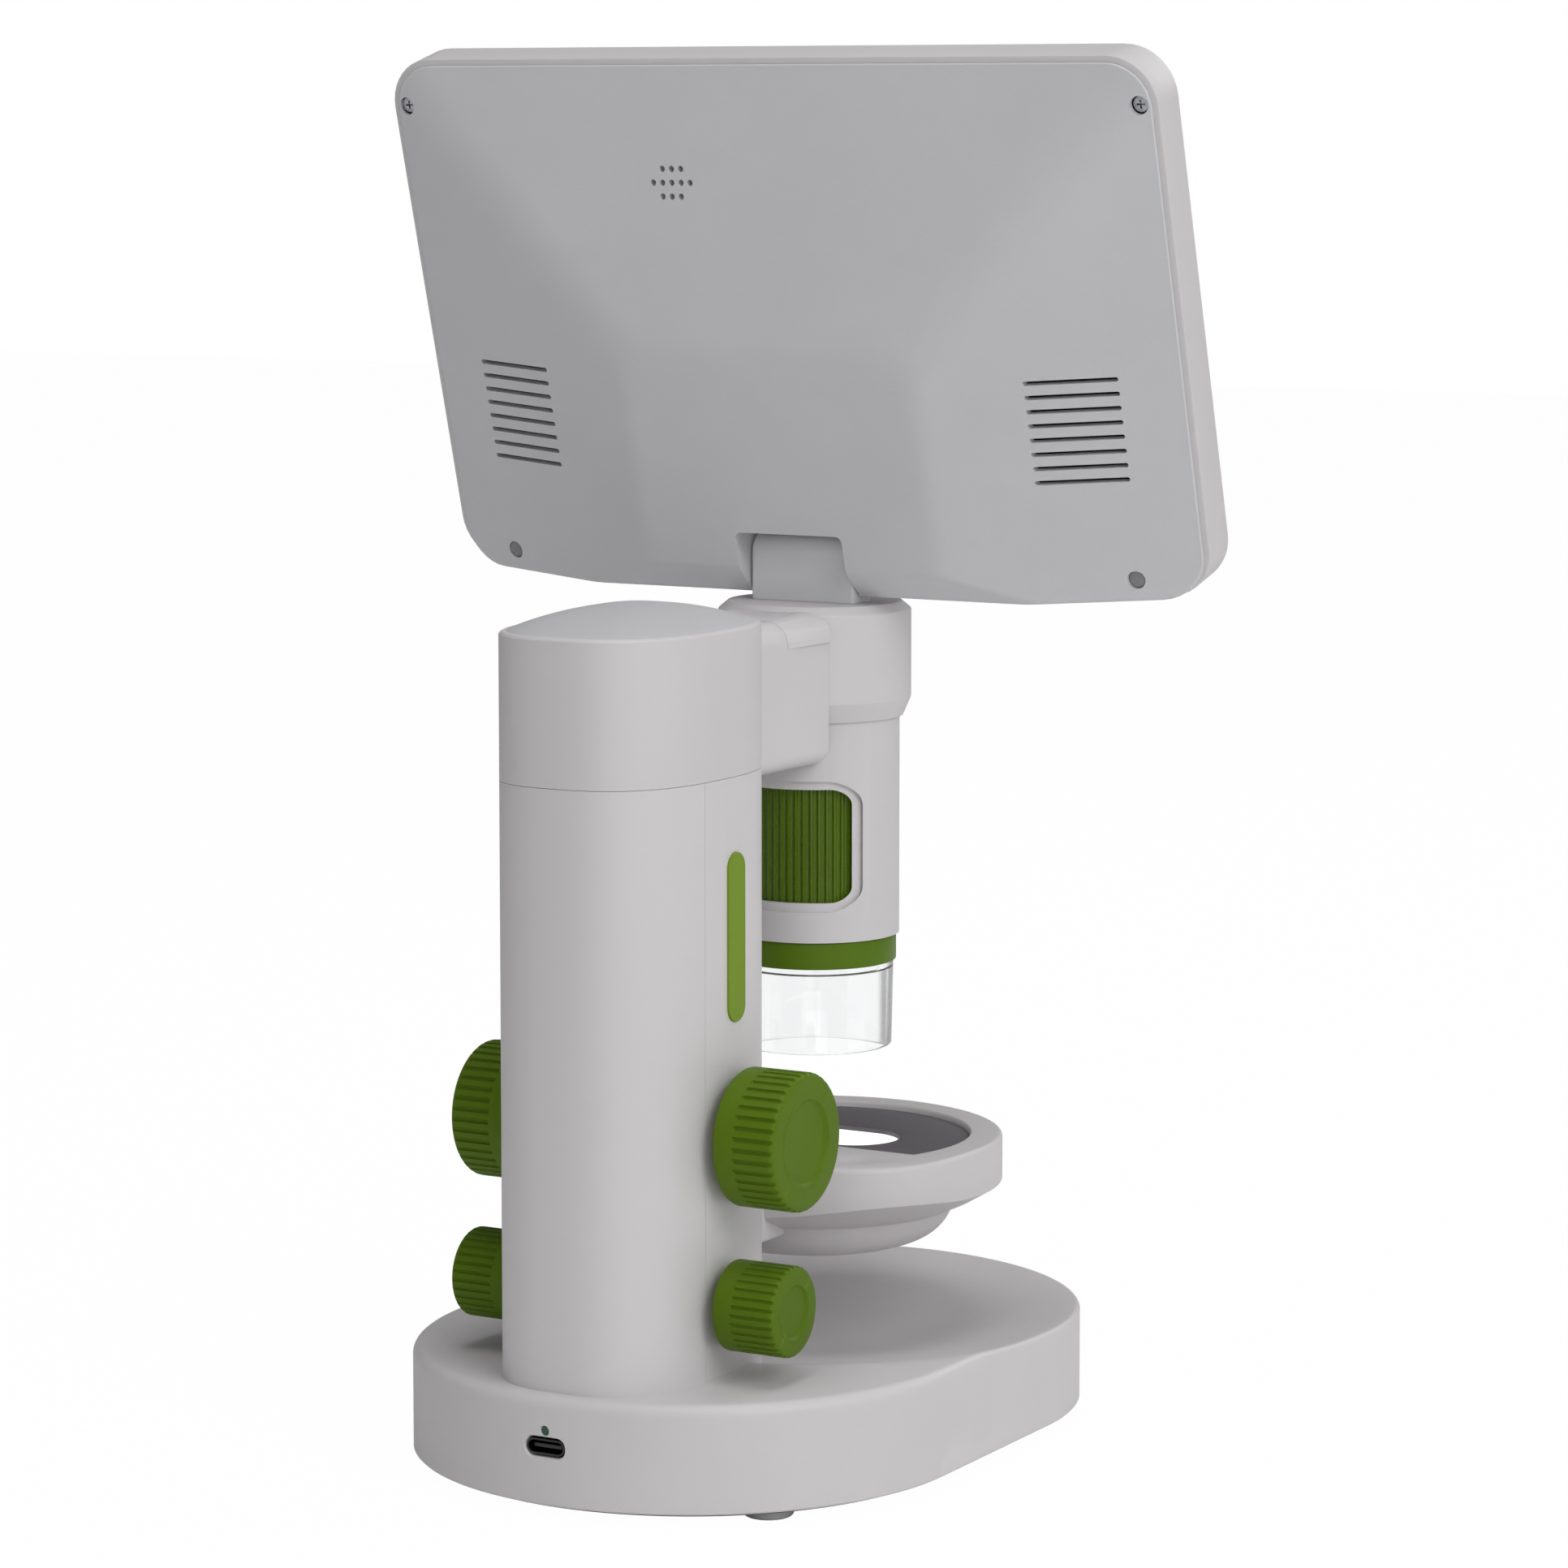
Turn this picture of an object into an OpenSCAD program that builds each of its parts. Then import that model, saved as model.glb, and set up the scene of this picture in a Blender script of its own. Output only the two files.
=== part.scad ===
// Desk-top digital microscope: a round-ended foot, an oval column with a rack lift,
// a round stage, a lens head on a short arm, and a flat screen hinged on top.
// The front, where the user sits, faces -Y. The table is at z = 0.

/* [Foot] */
// Radius of the two round ends of the foot
foot_r = 60.2; // [59:0.1:62]
// How far each round end's centre lies from the middle
foot_run = 24.6; // [24:0.1:26]
// Height of the foot's flat top above the table
foot_h = 25.4; // [25.4:0.1:27]
// Rounding of the foot's top edge
foot_edge = 2.4; // [2:0.1:3]
// Wall of the foot shell
foot_wall = 2.4; // [2:0.1:2.6]
// Radius of the hollow ball that forms the dish
dish_r = 263; // [255:1:280]
// Lowest height of the dish
dish_z = 16.8; // [16.6:0.1:17.6]
// Height of the rubber feet that shows under the plate
pad_h = 2; // [1.8:0.1:2.2]
// Radius of a rubber foot
pad_r = 5.3; // [4.8:0.1:5.6]
// Thickness of the bottom plate
plate_t = 2; // [1.6:0.1:2]

/* [Column] */
// Half of the column's width
column_a = 22.2; // [22:0.1:22.8]
// Half of the column's depth
column_b = 30.9; // [30.4:0.1:31.6]
// How far behind the middle of the foot the column stands
column_y = 49.8; // [49.4:0.1:50]
// How square the oval is, 2 being an ellipse
column_power = 2.7; // [2.5:0.05:3]
// Wall of the column
column_wall = 2.2; // [2:0.1:2.2]
// Height of the level seam under the arm
seam_z = 150; // [149.5:0.1:151]
// Height of the column's rim
rim_z = 180.6; // [180.4:0.1:181.4]
// Height of the dome on top of the column
dome_h = 4.7; // [4:0.1:5.5]
// Place of the upright seam from the middle of the foot
split_y = 57.2; // [57:0.1:58]

/* [Arm and head] */
// Half of the arm's width
arm_a = 13; // [12.8:0.1:13.4]
// Height of the arm's underside
arm_low = 145.9; // [145:0.1:147]
// Height of the arm's top
arm_top = 178.1; // [177.8:0.1:178.4]
// Place of the head's axis in front of the middle of the foot
head_y = -27.24; // [-28:0.02:-27]
// Radius of the head's cap
cap_r = 21.18; // [21:0.02:21.6]
// Height of the cap's top
cap_top = 179.7; // [179.5:0.1:180]
// Radius of the head's barrel
barrel_r = 18.66; // [18.5:0.02:18.8]
// Height of the barrel's lower end
barrel_low = 106.3; // [106:0.1:106.4]
// Radius of the coloured ring under the barrel
ring_r = 18; // [17.8:0.1:18.4]
// Height of the lower end of the coloured ring
ring_low = 100.3; // [100:0.1:100.6]
// Height of the lower end of the clear skirt
skirt_low = 81.3; // [80:0.1:84]

/* [Wheel and lens] */
// Radius of the focus wheel in the head
wheel_r = 16.4; // [16.2:0.05:16.5]
// Ribs round the focus wheel
wheel_ribs = 60; // [48:1:64]
// Half travel of the lens
lens_travel = 3; // [2:0.1:3]
// Radius of the lens carrier
carrier_r = 12.5; // [12.3:0.05:12.6]

/* [Stage] */
// Radius of the stage's round front
stage_r = 41.66; // [41.2:0.02:42]
// Depth of the stage behind the head's axis
stage_back = 38; // [37:0.1:39]
// Height of the stage's top
stage_top = 61.5; // [61:0.1:62]
// Radius of the dark plate in the stage
dark_r = 34.4; // [34:0.1:35]
// Place of the dark plate's straight edge behind the head's axis
dark_back = 13; // [12.5:0.1:14]
// Half length of the lit window
window_a = 18.3; // [17.5:0.1:18.8]
// Half depth of the lit window
window_b = 10; // [9.5:0.1:10.2]
// How far the stage goes up
lift_up = 14; // [12:0.5:14]
// How far the stage goes down
lift_down = 10; // [8:0.5:10]

/* [Knobs] */
// Radius of the large knobs
knob_r = 14.5; // [14:0.1:15]
// Radius of the small knobs
dimmer_r = 9.5; // [9:0.1:9.8]
// Place of the knobs' inner faces from the middle
knob_in = 24.9; // [24.8:0.1:25.3]
// Place of the knobs' outer faces from the middle
knob_out = 39.2; // [38.8:0.1:40]
// Ribs round a large knob
knob_ribs = 40; // [30:1:44]
// Ribs round a small knob
dimmer_ribs = 32; // [24:1:32]
// Height of the large knobs' axis
knob_z = 75.1; // [74.8:0.1:75.6]
// Height of the small knobs' axis
dimmer_z = 40.6; // [40.4:0.1:40.8]
// Place of the large knobs' axis from the middle of the foot
knob_y = 45.2; // [45:0.1:45.4]
// Place of the small knobs' axis from the middle of the foot
dimmer_y = 50.3; // [50:0.1:50.4]

/* [Screen] */
// Width of the screen's frame
screen_w = 188; // [187:0.5:189]
// Height of the screen's frame along its slope
screen_l = 118.25; // [118:0.25:119]
// Depth of the screen's frame
screen_d = 10.88; // [10.8:0.04:11.2]
// Lean of the screen as pictured, in degrees
screen_lean = 15.71; // [12:0.01:20]
// Height of the tilt axis
tilt_z = 190.2; // [190:0.1:190.6]
// Depth of the raised field on the screen's back
back_d = 14; // [13.6:0.1:14.4]
// Half width of the raised field
back_a = 36.1; // [35:0.1:37]
// Upper edge of the raised field along the slope
back_v = 57; // [56:0.5:58]
// Width of the frame beside the display's bare glass
bezel_side = 14.7; // [14:0.1:15.5]
// Width of the frame above the display's bare glass
bezel_top = 7.95; // [7.55:0.05:8.5]
// Radius of the push buttons
button_r = 3.4; // [3:0.1:3.5]
// Travel of the push buttons
button_travel = 0.6; // [0.4:0.1:0.6]
// Air slots on each side of the back
slot_count = 8; // [6:1:8]

/* [Hidden] */
$fn = 64;
over = 1;             // overrun of every cut
slip = 0.02;          // running fit of shafts
loose = 0.3;          // gap between bodies that move past each other
seat = 0.1;           // gap between pieces that rest on each other
hole_gap = 0.05;      // extra radius of a screw hole
oval_points = 72;
quarter = 90;
turn = 360;

// Fasteners
screw_r = 1.4;
screw_head_r = 2.6;
screw_head_h = 1.5;
screw_slot_r = 1.2;
screw_slot_h = 0.8;
small_r = 1.1;
small_head_r = 1.9;
small_head_h = 1.5;
boss_wall = 2.4;

// Foot
foot_in = foot_r - foot_wall;
plate_r = foot_in - seat * 2;
plate_low = pad_h;
plate_top = plate_low + plate_t;
foot_roof = foot_h - foot_wall;
pad_seat = 0.8;
pad_x = 38;
pad_y = 59;
foot_screw_x = 46;
foot_screw_y = 22;
foot_screw_len = 9;
ballast_x = 35;
ballast_y = -70;
ballast_l = 55;
ballast_t = 4;
battery_x = 25;
battery_y = -10;
battery_l = 34;
battery_t = 8;
battery_tab_x = 6;
board_t = 1.6;
power_x = 16;
power_y = 52;
power_l = 26;
power_z = 11.7;
power_peg_x = 12;
power_peg_in = 4;
peg_r = 1.1;
peg_post_r = 3;
usb_w = 9;
usb_t = 3.2;
usb_back = foot_run + foot_r - foot_wall / 4;
usb_bite = 1.1;
usb_y = power_y + power_l - usb_bite;
usb_shell = 0.35;
usb_tongue_t = 0.7;
usb_tongue_w = 6.6;
usb_tongue_back = 1;
usb_hole_w = 9.6;
usb_hole_h = 4.2;
usb_z = power_z + board_t + usb_t / 2;
lamp_z = 18.36;
lamp_r = 1;
lamp_post_r = lamp_r - hole_gap * 2;
lead_x = 6;
lead_y = 70;
lead_r = 1.6;
lead_hole_r = lead_r + loose;
lead_bend = 8;
lead_z = 168;
lead_end = -12;
lead_foot_hole_r = 3.5;

// Column
inner_a = column_a - column_wall;
inner_b = column_b - column_wall;
floor_top = foot_h + column_wall;
column_boss_top = floor_top + column_wall * 0.8;
column_screw_front_x = 12;
column_screw_front_y = 38;
column_screw_back_x = 15;
column_screw_back_y = 52;
column_screw_len = 5.6;
slot_w = 19;
neck_w = slot_w - 1;
neck_low = 44;
neck_h = 12;
slot_low = neck_low - lift_down - loose;
slot_high = neck_low + neck_h + lift_up + loose;
rod_r = 2;
rod_x = 9.5;
rod_y = 29.5;
rod_low = foot_h + column_wall * 0.3;
bar_low = 128;
bar_t = 5;
bar_back = 34;
rod_high = bar_low + bar_t * 0.6;
lip_t = 1.2;
lip_low = 50;
lip_high = 143;
lip_deep = 1.8;
spigot_t = 1.8;
spigot_h = 6;
cap_plug_h = 2;
rim_round = 1.4;
dome_inset = 1.2;
strip_low = 98.9;
strip_high = 134.3;
strip_w = 6.7;
strip_proud = 0.5;
strip_deep = 1.2;

// Knobs and shaft
shaft_r = 2.5;
shaft_half = 37;
bush_r = 4;
bush_flange_r = 6;
bush_flange_t = 2;
bush_long = 5.2;
bush_in = column_a - bush_long;
bush_out = column_a + seat;
bush_boss_r = 6;
knob_collar_l = 4.6;
knob_bevel = 1.2;
knob_face_r = 9.4;
knob_face_deep = 0.5;
knob_rib_r = 0.55;
dimmer_collar_l = 4.2;
dimmer_bevel = 0.9;
dimmer_face_r = 6;
dimmer_face_deep = 0.4;
dimmer_rib_r = 0.42;
stem_r = 3;
stem_hole_r = stem_r + loose;
pot_in = 12.5;
pot_out = 19.2;
pot_half = 4.8;
pot_low = 35;
pot_h = 11;
pot_bore_r = 1.6;
pot_bore_deep = 4.5;
dimmer_board_x = 19;
dimmer_board_y = 44;
dimmer_board_l = 12;
dimmer_board_z = pot_low - board_t;
dimmer_post_x = 9;
dimmer_post_r = 2;
pinion_teeth = 14;
gear_module = 1;
pinion_pitch_r = pinion_teeth * gear_module / 2;
pressure = 20;
tooth_play = 0.12;
dedendum_share = 1.25;
pinion_half = 3.5;
rack_half = 4;
rack_line = knob_y - pinion_pitch_r;
rack_low = 54;
rack_high = 92;
carriage_a = 14;
carriage_front = 24.5;
carriage_back = 36;
carriage_low = 40;
carriage_high = 95;
carriage_bush_r = 3.5;
carriage_bush_l = 8;
carriage_free_r = 2.4;

// Arm and head
arm_top_round = 5;
arm_low_round = 3.5;
arm_wall = column_wall;
arm_end_t = 2.8;
arm_end_r = cap_r + seat;
cover_t = 0.9;
cover_skirt = 5.6;
cover_front = -9.9;
cover_back = 7.4;
cap_low = 158.6;
cap_skirt = 4.1;
cap_round = 0.8;
cap_plate = 3;
barrel_fit_r = barrel_r + seat;
barrel_top = 176;
barrel_in = 16.76;
head_window_low = 114.9;
head_window_high = 139.8;
wheel_more = 0.1;
barrel_seat_top = head_window_low - wheel_more - loose;
barrel_floor_t = 2;
barrel_seat_r = carrier_r + loose + hole_gap * 4;
nose_r = 8.6;
nose_hole_r = nose_r + loose + seat;
nose_low = 104;
carrier_low = 113;
carrier_high = 135;
carrier_wall = 2;
wheel_low = barrel_seat_top + loose;
wheel_high = head_window_high + wheel_more;
wheel_groove_r = 0.5;
head_window_a = 14.8;
head_window_round = 3.5;
head_window_bevel = 1.9;
sensor_low = wheel_high + loose;
sensor_t = 3;
sensor_r = barrel_in - seat / 2;
sensor_window_r = 6;
sensor_board_r = 15;
sensor_board_z = sensor_low + sensor_t + seat;
sensor_chip = 9;
sensor_chip_t = 1.2;
ring_in = 16.05;
ring_board_r = ring_in - loose + hole_gap;
ring_board_in = 9.2;
ring_board_z = barrel_low - seat - board_t;
led_r = 1.2;
led_h = 0.8;
led_count = 8;
led_circle = 12.5;
skirt_wall = 1.5;
skirt_top_r = 17.4;
skirt_low_r = 17;
skirt_spigot_h = 3;
lens_r = 6.5;
lens_low = 104.6;
lens_t = 3.4;
lens_lip = 0.8;
head_screw_x = 7;
head_screw_low = 160;
head_screw_high = 170;
head_screw_len = 11;

// Hinge stem
pin_r = 1.5;
pin_half = 19;
tilt_front = 1.7;
tilt_y = head_y + tilt_front;
stem_a = 12.8;
knuckle_r = 4;

// Stage
stage_power = 3;
stage_points = 96;
stage_wall_low = 51;
stage_mid_z = 48;
stage_mid_r = 36.2;
stage_low = 46;
stage_low_r = 31.8;
stage_flare = (stage_wall_low - stage_mid_z) / (stage_r - stage_mid_r);
dark_t = 2;
dark_sunk = 1.2;
dark_corner = 7;
dark_top = stage_top - dark_sunk;
dark_low = dark_top - dark_t;
deck_t = 2.8;
deck_low = dark_low - deck_t;
deck_lip = 1.3;
diffuser_t = dark_t / 2;
window_y = -3.5;
dimple_x = 24.6;
dimple_y = 24.5;
dimple_r = 4.3;
dimple_deep = 0.5;
dimple_ball = (dimple_r * dimple_r + dimple_deep * dimple_deep) / (2 * dimple_deep);
hollow_r = 28.6;
lamp_board_r = 20;
lamp_board_z = 51.6;
lamp_peg_r = 2;
lamp_peg_at = 17;
lamp_led_r = 1.5;
lamp_led_h = 1;
lamp_led_at = 9;
lamp_led_count = 6;
bowl_low = 37.3;
bowl_r = 31;
bowl_high = stage_low - seat;
bowl_wall = 2;
bowl_seat_z = 40.5;
stage_screw_at = 20;
stage_screw_turn = 196;
stage_screw_count = 3;
stage_screw_len = 11;
stage_boss_r = 3;
neck_screw_x = 3;
neck_screw_z = 50;
neck_front = 6;
neck_seat = 4.5;

// Screen, in its own frame: x across, y up the slope, z towards the front
tilt_v = 8.19;
tilt_w = 5.12;
screen_corner = 11;
frame_wall = 2;
seam_inset = 1.3;
front_t = 3;
front_z = screen_d - front_t;
glass_t = 1.1;
glass_low = 18.7;
glass_w = screen_w - 2 * bezel_side;
glass_l = screen_l - glass_low - bezel_top;
panel_more = 3.2;
view_inset = 3.3;
panel_x = glass_w + 2 * panel_more;
panel_low = 18;
panel_top = 4.25;
panel_l = screen_l - panel_low - panel_top;
panel_t = 5.1;
panel_z = front_z - seat - panel_t;
back_edge = 0.5;
back_hip = 9.2;
back_hip_slope = 0.68;
back_half = screen_w / 2 - seam_inset;
back_top = screen_l - seam_inset;
back_wall = 2;
notch_a = 13.3;
notch_v = 15.4;
notch_w = 0.8;
notch_block_a = 20.5;
notch_block_v = notch_v + back_wall;
notch_plate = 1.2;
slot_long = 20.2;
slot_edge = 34.9;
slot_first_x = screen_w / 2 - slot_edge;
slot_first_v = 27.5;
slot_pitch = 3.16;
slot_wide = 1;
sound_x = 21.2;
sound_edge = 26.05;
sound_v = screen_l - sound_edge;
sound_r = 0.7;
sound_pitch_x = 2.3;
sound_pitch_v = 2.9;
sound_rows = [3, 5, 3];
speaker_r = 7;
speaker_low = 1.6;
speaker_high = 2;
speaker_ring = 1;
main_edge = 39;
main_x = screen_w - 2 * main_edge;
main_v = 19;
main_top = 37.25;
main_l = screen_l - main_v - main_top;
main_w = 2;
main_post_in = 9;
main_post_x = main_x / 2 - main_post_in;
main_post_v = 6;
main_post_r = 2.2;
chip_a = 14;
chip_t = 1.4;
corner_screw_edge = 4;
corner_screw_top = 10.35;
low_screw_edge = 16;
corner_screw_x = screen_w / 2 - corner_screw_edge;
corner_screw_v = screen_l - corner_screw_top;
low_screw_x = screen_w / 2 - low_screw_edge;
low_screw_v = 4.9;
screen_boss_r = 2.7;
screen_sink_r = 2;
screen_sink_z = 1.5;
screen_boss_low = 3;
screen_screw_len = 6;
plug_r = 1.95;
plug_top = 3.5;
button_v = 11;
button_pitch = 24;
button_count = 4;
button_gap = 0.2;
button_proud = 0.6;
button_flange_r = 4.4;
button_flange_t = 1.5;
button_flange_z = 5.8;
button_board_z = 2.4;
button_board_v = 5.5;
button_board_l = 10;
button_board_a = 46;
button_switch_a = 2.5;
button_post_x = 43.4;
button_post_r = 2;
button_peg_r = 1;

pale = [0.8, 0.81, 0.81];
shade = [0.67, 0.68, 0.69];
green = [0.31, 0.47, 0.12];
deep_green = [0.24, 0.37, 0.08];
dark = [0.37, 0.36, 0.38];
black = [0.12, 0.12, 0.13];
steel = [0.7, 0.71, 0.73];
board = [0.13, 0.34, 0.2];
brass = [0.75, 0.62, 0.32];

// Points of an oval, half axes a and b, squarer with a larger power
function oval_points_of(a, b, power, count) = [
  for (i = [0:count - 1])
    let (t = turn * i / count, c = cos(t), s = sin(t))
      [a * sign(c) * pow(abs(c), 2 / power), b * sign(s) * pow(abs(s), 2 / power)]
];

// The column's oval, drawn in by an inset
module column_prism(inset, low, high) {
  translate([0, column_y, low])
    linear_extrude(high - low)
      polygon(oval_points_of(column_a - inset, column_b - inset, column_power, oval_points));
}

// Rectangle with round ends, centred
module pill(w, h) {
  square([w - h, h], center = true);
  for (s = [-1, 1]) translate([s * (w - h) / 2, 0]) circle(h / 2);
}

// Rectangle with round corners, centred
module round_box(w, h, r) {
  square([w - 2 * r, h], center = true);
  square([w, h - 2 * r], center = true);
  for (s = [-1, 1], t = [-1, 1]) translate([s * (w / 2 - r), t * (h / 2 - r)]) circle(r);
}

// Hollow cylinder
module tube(outer, inner, low, high) {
  translate([0, 0, low])
    difference() {
      cylinder(r = outer, h = high - low);
      translate([0, 0, -over]) cylinder(r = inner, h = high - low + 2 * over);
    }
}

// Pan-head screw: the head's inner face at z = 0, the shank upwards
module screw(r, head_r, head_h, len) {
  cylinder(r = r, h = len);
  translate([0, 0, -head_h])
    difference() {
      cylinder(r = head_r, h = head_h);
      translate([0, 0, -over]) cylinder(r = screw_slot_r, h = over + screw_slot_h, $fn = 6);
    }
}

module each_foot_screw() {
  for (s = [-1, 1], t = [-1, 1]) translate([s * foot_screw_x, t * foot_screw_y, 0]) children();
}

module each_column_screw() {
  for (s = [-1, 1]) {
    translate([s * column_screw_front_x, column_screw_front_y, 0]) children();
    translate([s * column_screw_back_x, column_screw_back_y, 0]) children();
  }
}

module each_pad() {
  for (s = [-1, 1], t = [-1, 1]) translate([s * pad_x, t * pad_y, 0]) children();
}

// Half outline of a body whose top edge is rounded
module edge_profile(r, low, high, e) {
  translate([0, low]) square([r - e, high - low]);
  translate([0, low]) square([r, high - low - e]);
  translate([r - e, high - e]) circle(e);
}

// Round-ended body of the foot
module foot_body(r, low, high, e) {
  for (s = [-1, 1]) translate([0, s * foot_run, 0]) rotate_extrude($fn = 96) edge_profile(r, low, high, e);
  translate([0, foot_run, 0])
    rotate([quarter, 0, 0])
      linear_extrude(2 * foot_run) {
        edge_profile(r, low, high, e);
        mirror([1, 0]) edge_profile(r, low, high, e);
      }
}

// The ball that hollows the dish, spared where the column stands
module dish_ball(r, inset) {
  difference() {
    translate([0, -foot_run, dish_z + dish_r]) sphere(r = r, $fn = 160);
    column_prism(inset, plate_low, foot_h + foot_wall);
  }
}

module base_shell() color(pale) {
  difference() {
    foot_body(foot_r, pad_h, foot_h, foot_edge);
    dish_ball(dish_r, 0);
    difference() {
      foot_body(foot_in, pad_h - over, foot_roof, foot_edge / 2);
      dish_ball(dish_r + foot_wall, column_wall);
      each_foot_screw()
        translate([0, 0, plate_top]) cylinder(r = screw_r + boss_wall, h = foot_h - plate_top);
    }
    each_foot_screw()
      translate([0, 0, plate_low]) cylinder(r = screw_r + hole_gap, h = foot_screw_len + hole_gap);
    each_column_screw()
      translate([0, 0, foot_roof - over]) cylinder(r = screw_r + hole_gap, h = foot_wall + 2 * over);
    translate([lead_x, lead_y, foot_roof - over]) cylinder(r = lead_foot_hole_r, h = foot_wall + 2 * over);
    translate([0, foot_run + foot_in - over, usb_z])
      rotate([-quarter, 0, 0]) linear_extrude(foot_wall + 2 * over) pill(usb_hole_w, usb_hole_h);
    translate([0, foot_run + foot_in - over, lamp_z])
      rotate([-quarter, 0, 0]) cylinder(r = lamp_r, h = foot_wall + 2 * over, $fn = 24);
  }
}

module base_plate() color(dark) {
  difference() {
    union() {
      translate([0, 0, plate_low])
        linear_extrude(plate_t) {
          square([2 * plate_r, 2 * foot_run], center = true);
          for (s = [-1, 1]) translate([0, s * foot_run]) circle(plate_r, $fn = 96);
        }
      each_power_peg() {
        translate([0, 0, plate_low]) cylinder(r = peg_post_r, h = power_z - plate_low);
        translate([0, 0, plate_low]) cylinder(r = peg_r, h = power_z - plate_low + board_t + peg_r);
      }
    }
    each_foot_screw()
      translate([0, 0, plate_low - over]) cylinder(r = screw_r + hole_gap, h = plate_t + 2 * over);
    each_pad() translate([0, 0, plate_low - over]) cylinder(r = pad_r + slip, h = over + pad_seat);
  }
}

module each_power_peg() {
  for (s = [-1, 1], y = [power_y + power_peg_in, power_y + power_l - power_peg_in])
    translate([s * power_peg_x, y, 0]) children();
}

module base_feet() color(shade) {
  each_pad() {
    cylinder(r = pad_r - pad_seat / 2, h = pad_h + pad_seat);
    translate([0, 0, pad_seat / 2]) cylinder(r = pad_r, h = pad_h + pad_seat / 2);
  }
}

module base_screws() color(steel) {
  each_foot_screw()
    translate([0, 0, plate_low]) screw(screw_r, screw_head_r, screw_head_h, foot_screw_len);
}

module ballast_plate() color(steel) {
  translate([0, ballast_y + ballast_l / 2, plate_top])
    linear_extrude(ballast_t) round_box(2 * ballast_x, ballast_l, ballast_t);
}

module battery() color(shade) {
  translate([-battery_x, battery_y, plate_top]) cube([2 * battery_x, battery_l, battery_t]);
  translate([-battery_tab_x, battery_y + battery_l, plate_top])
    cube([2 * battery_tab_x, board_t * 2, battery_t / 2]);
}

module power_board() color(board) {
  difference() {
    translate([-power_x, power_y, power_z]) cube([2 * power_x, power_l, board_t]);
    each_power_peg()
      translate([0, 0, power_z - over]) cylinder(r = peg_r + hole_gap, h = board_t + 2 * over);
  }
  translate([-lamp_post_r, usb_y - 2 * lamp_post_r, power_z]) cube([2 * lamp_post_r, lamp_post_r, lamp_z - power_z]);
  translate([0, usb_y - 2 * lamp_post_r, lamp_z])
    rotate([-quarter, 0, 0]) cylinder(r = lamp_post_r, h = usb_back - usb_y + 2 * lamp_post_r, $fn = 24);
  translate([-power_x / 2, power_y + power_peg_in, power_z])
    cube([power_x / 2, power_x / 2, board_t + screw_head_h]);
}

module usb_socket() color(steel) {
  translate([0, usb_y, usb_z])
    rotate([-quarter, 0, 0]) {
      difference() {
        linear_extrude(usb_back - usb_y) pill(usb_w, usb_t);
        translate([0, 0, usb_tongue_back])
          linear_extrude(usb_back - usb_y) pill(usb_w - 2 * usb_shell, usb_t - 2 * usb_shell);
      }
      translate([-usb_tongue_w / 2, -usb_tongue_t / 2, 0])
        cube([usb_tongue_w, usb_tongue_t, usb_back - usb_y - usb_tongue_back]);
    }
}

// Everything in the column behind a level
module behind(y, low, high) {
  translate([-column_a - over, y, low]) cube([2 * (column_a + over), column_b * 2, high - low]);
}

module each_rod() {
  for (s = [-1, 1]) translate([s * rod_x, rod_y, 0]) children();
}

// A cylinder along X through both side walls, or on both sides from x0 to x1
module side_cylinder(r, y, z, x0, x1) {
  for (s = [0, 1]) mirror([s, 0, 0]) translate([x0, y, z]) rotate([0, quarter, 0]) cylinder(r = r, h = x1 - x0);
}

module strip_shape(grow, deep, proud) {
  for (s = [0, 1])
    mirror([s, 0, 0])
      translate([column_a - deep, knob_y, (strip_low + strip_high) / 2])
        rotate([0, quarter, 0])
          linear_extrude(deep + proud) pill(strip_high - strip_low + 2 * grow, strip_w + 2 * grow);
}

module each_dimmer_post() {
  for (s = [-1, 1]) translate([s * dimmer_post_x, dimmer_board_y + dimmer_board_l / 2, 0]) children();
}

module column_front() color(pale) {
  difference() {
    union() {
      difference() {
        column_prism(0, foot_h, seam_z - seat);
        column_prism(column_wall, floor_top, seam_z);
      }
      each_column_screw()
        translate([0, 0, foot_h]) cylinder(r = screw_r + boss_wall / 2, h = column_boss_top - foot_h);
      each_rod() translate([0, 0, foot_h]) cylinder(r = 2 * rod_r, h = column_boss_top - foot_h);
      each_dimmer_post() {
        translate([0, 0, foot_h]) cylinder(r = dimmer_post_r, h = dimmer_board_z - foot_h);
        translate([0, 0, foot_h]) cylinder(r = peg_r, h = dimmer_board_z - foot_h + board_t + peg_r);
      }
      intersection() {
        column_prism(column_wall / 2, bar_low, bar_low + bar_t);
        translate([-column_a, column_y - column_b, bar_low])
          cube([2 * column_a, bar_back - column_y + column_b, bar_t]);
      }
      intersection() {
        column_prism(column_wall / 2, foot_h, seam_z - seat);
        side_cylinder(bush_boss_r, knob_y, knob_z, bush_in, column_a);
      }
    }
    behind(split_y - seat, foot_h - over, seam_z);
    each_column_screw()
      translate([0, 0, foot_h - over]) cylinder(r = screw_r + hole_gap, h = over + column_screw_len + hole_gap);
    each_rod() translate([0, 0, rod_low]) cylinder(r = rod_r + slip, h = rod_high - rod_low);
    translate([-slot_w / 2, column_y - column_b - over, slot_low])
      cube([slot_w, over + column_b - inner_b * sqrt(1 / 2), slot_high - slot_low]);
    side_cylinder(bush_r + slip, knob_y, knob_z, bush_in - over, column_a + over);
    side_cylinder(stem_hole_r, dimmer_y, dimmer_z, inner_a - boss_wall, column_a + over);
    strip_shape(hole_gap, strip_deep, over);
  }
}

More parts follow.
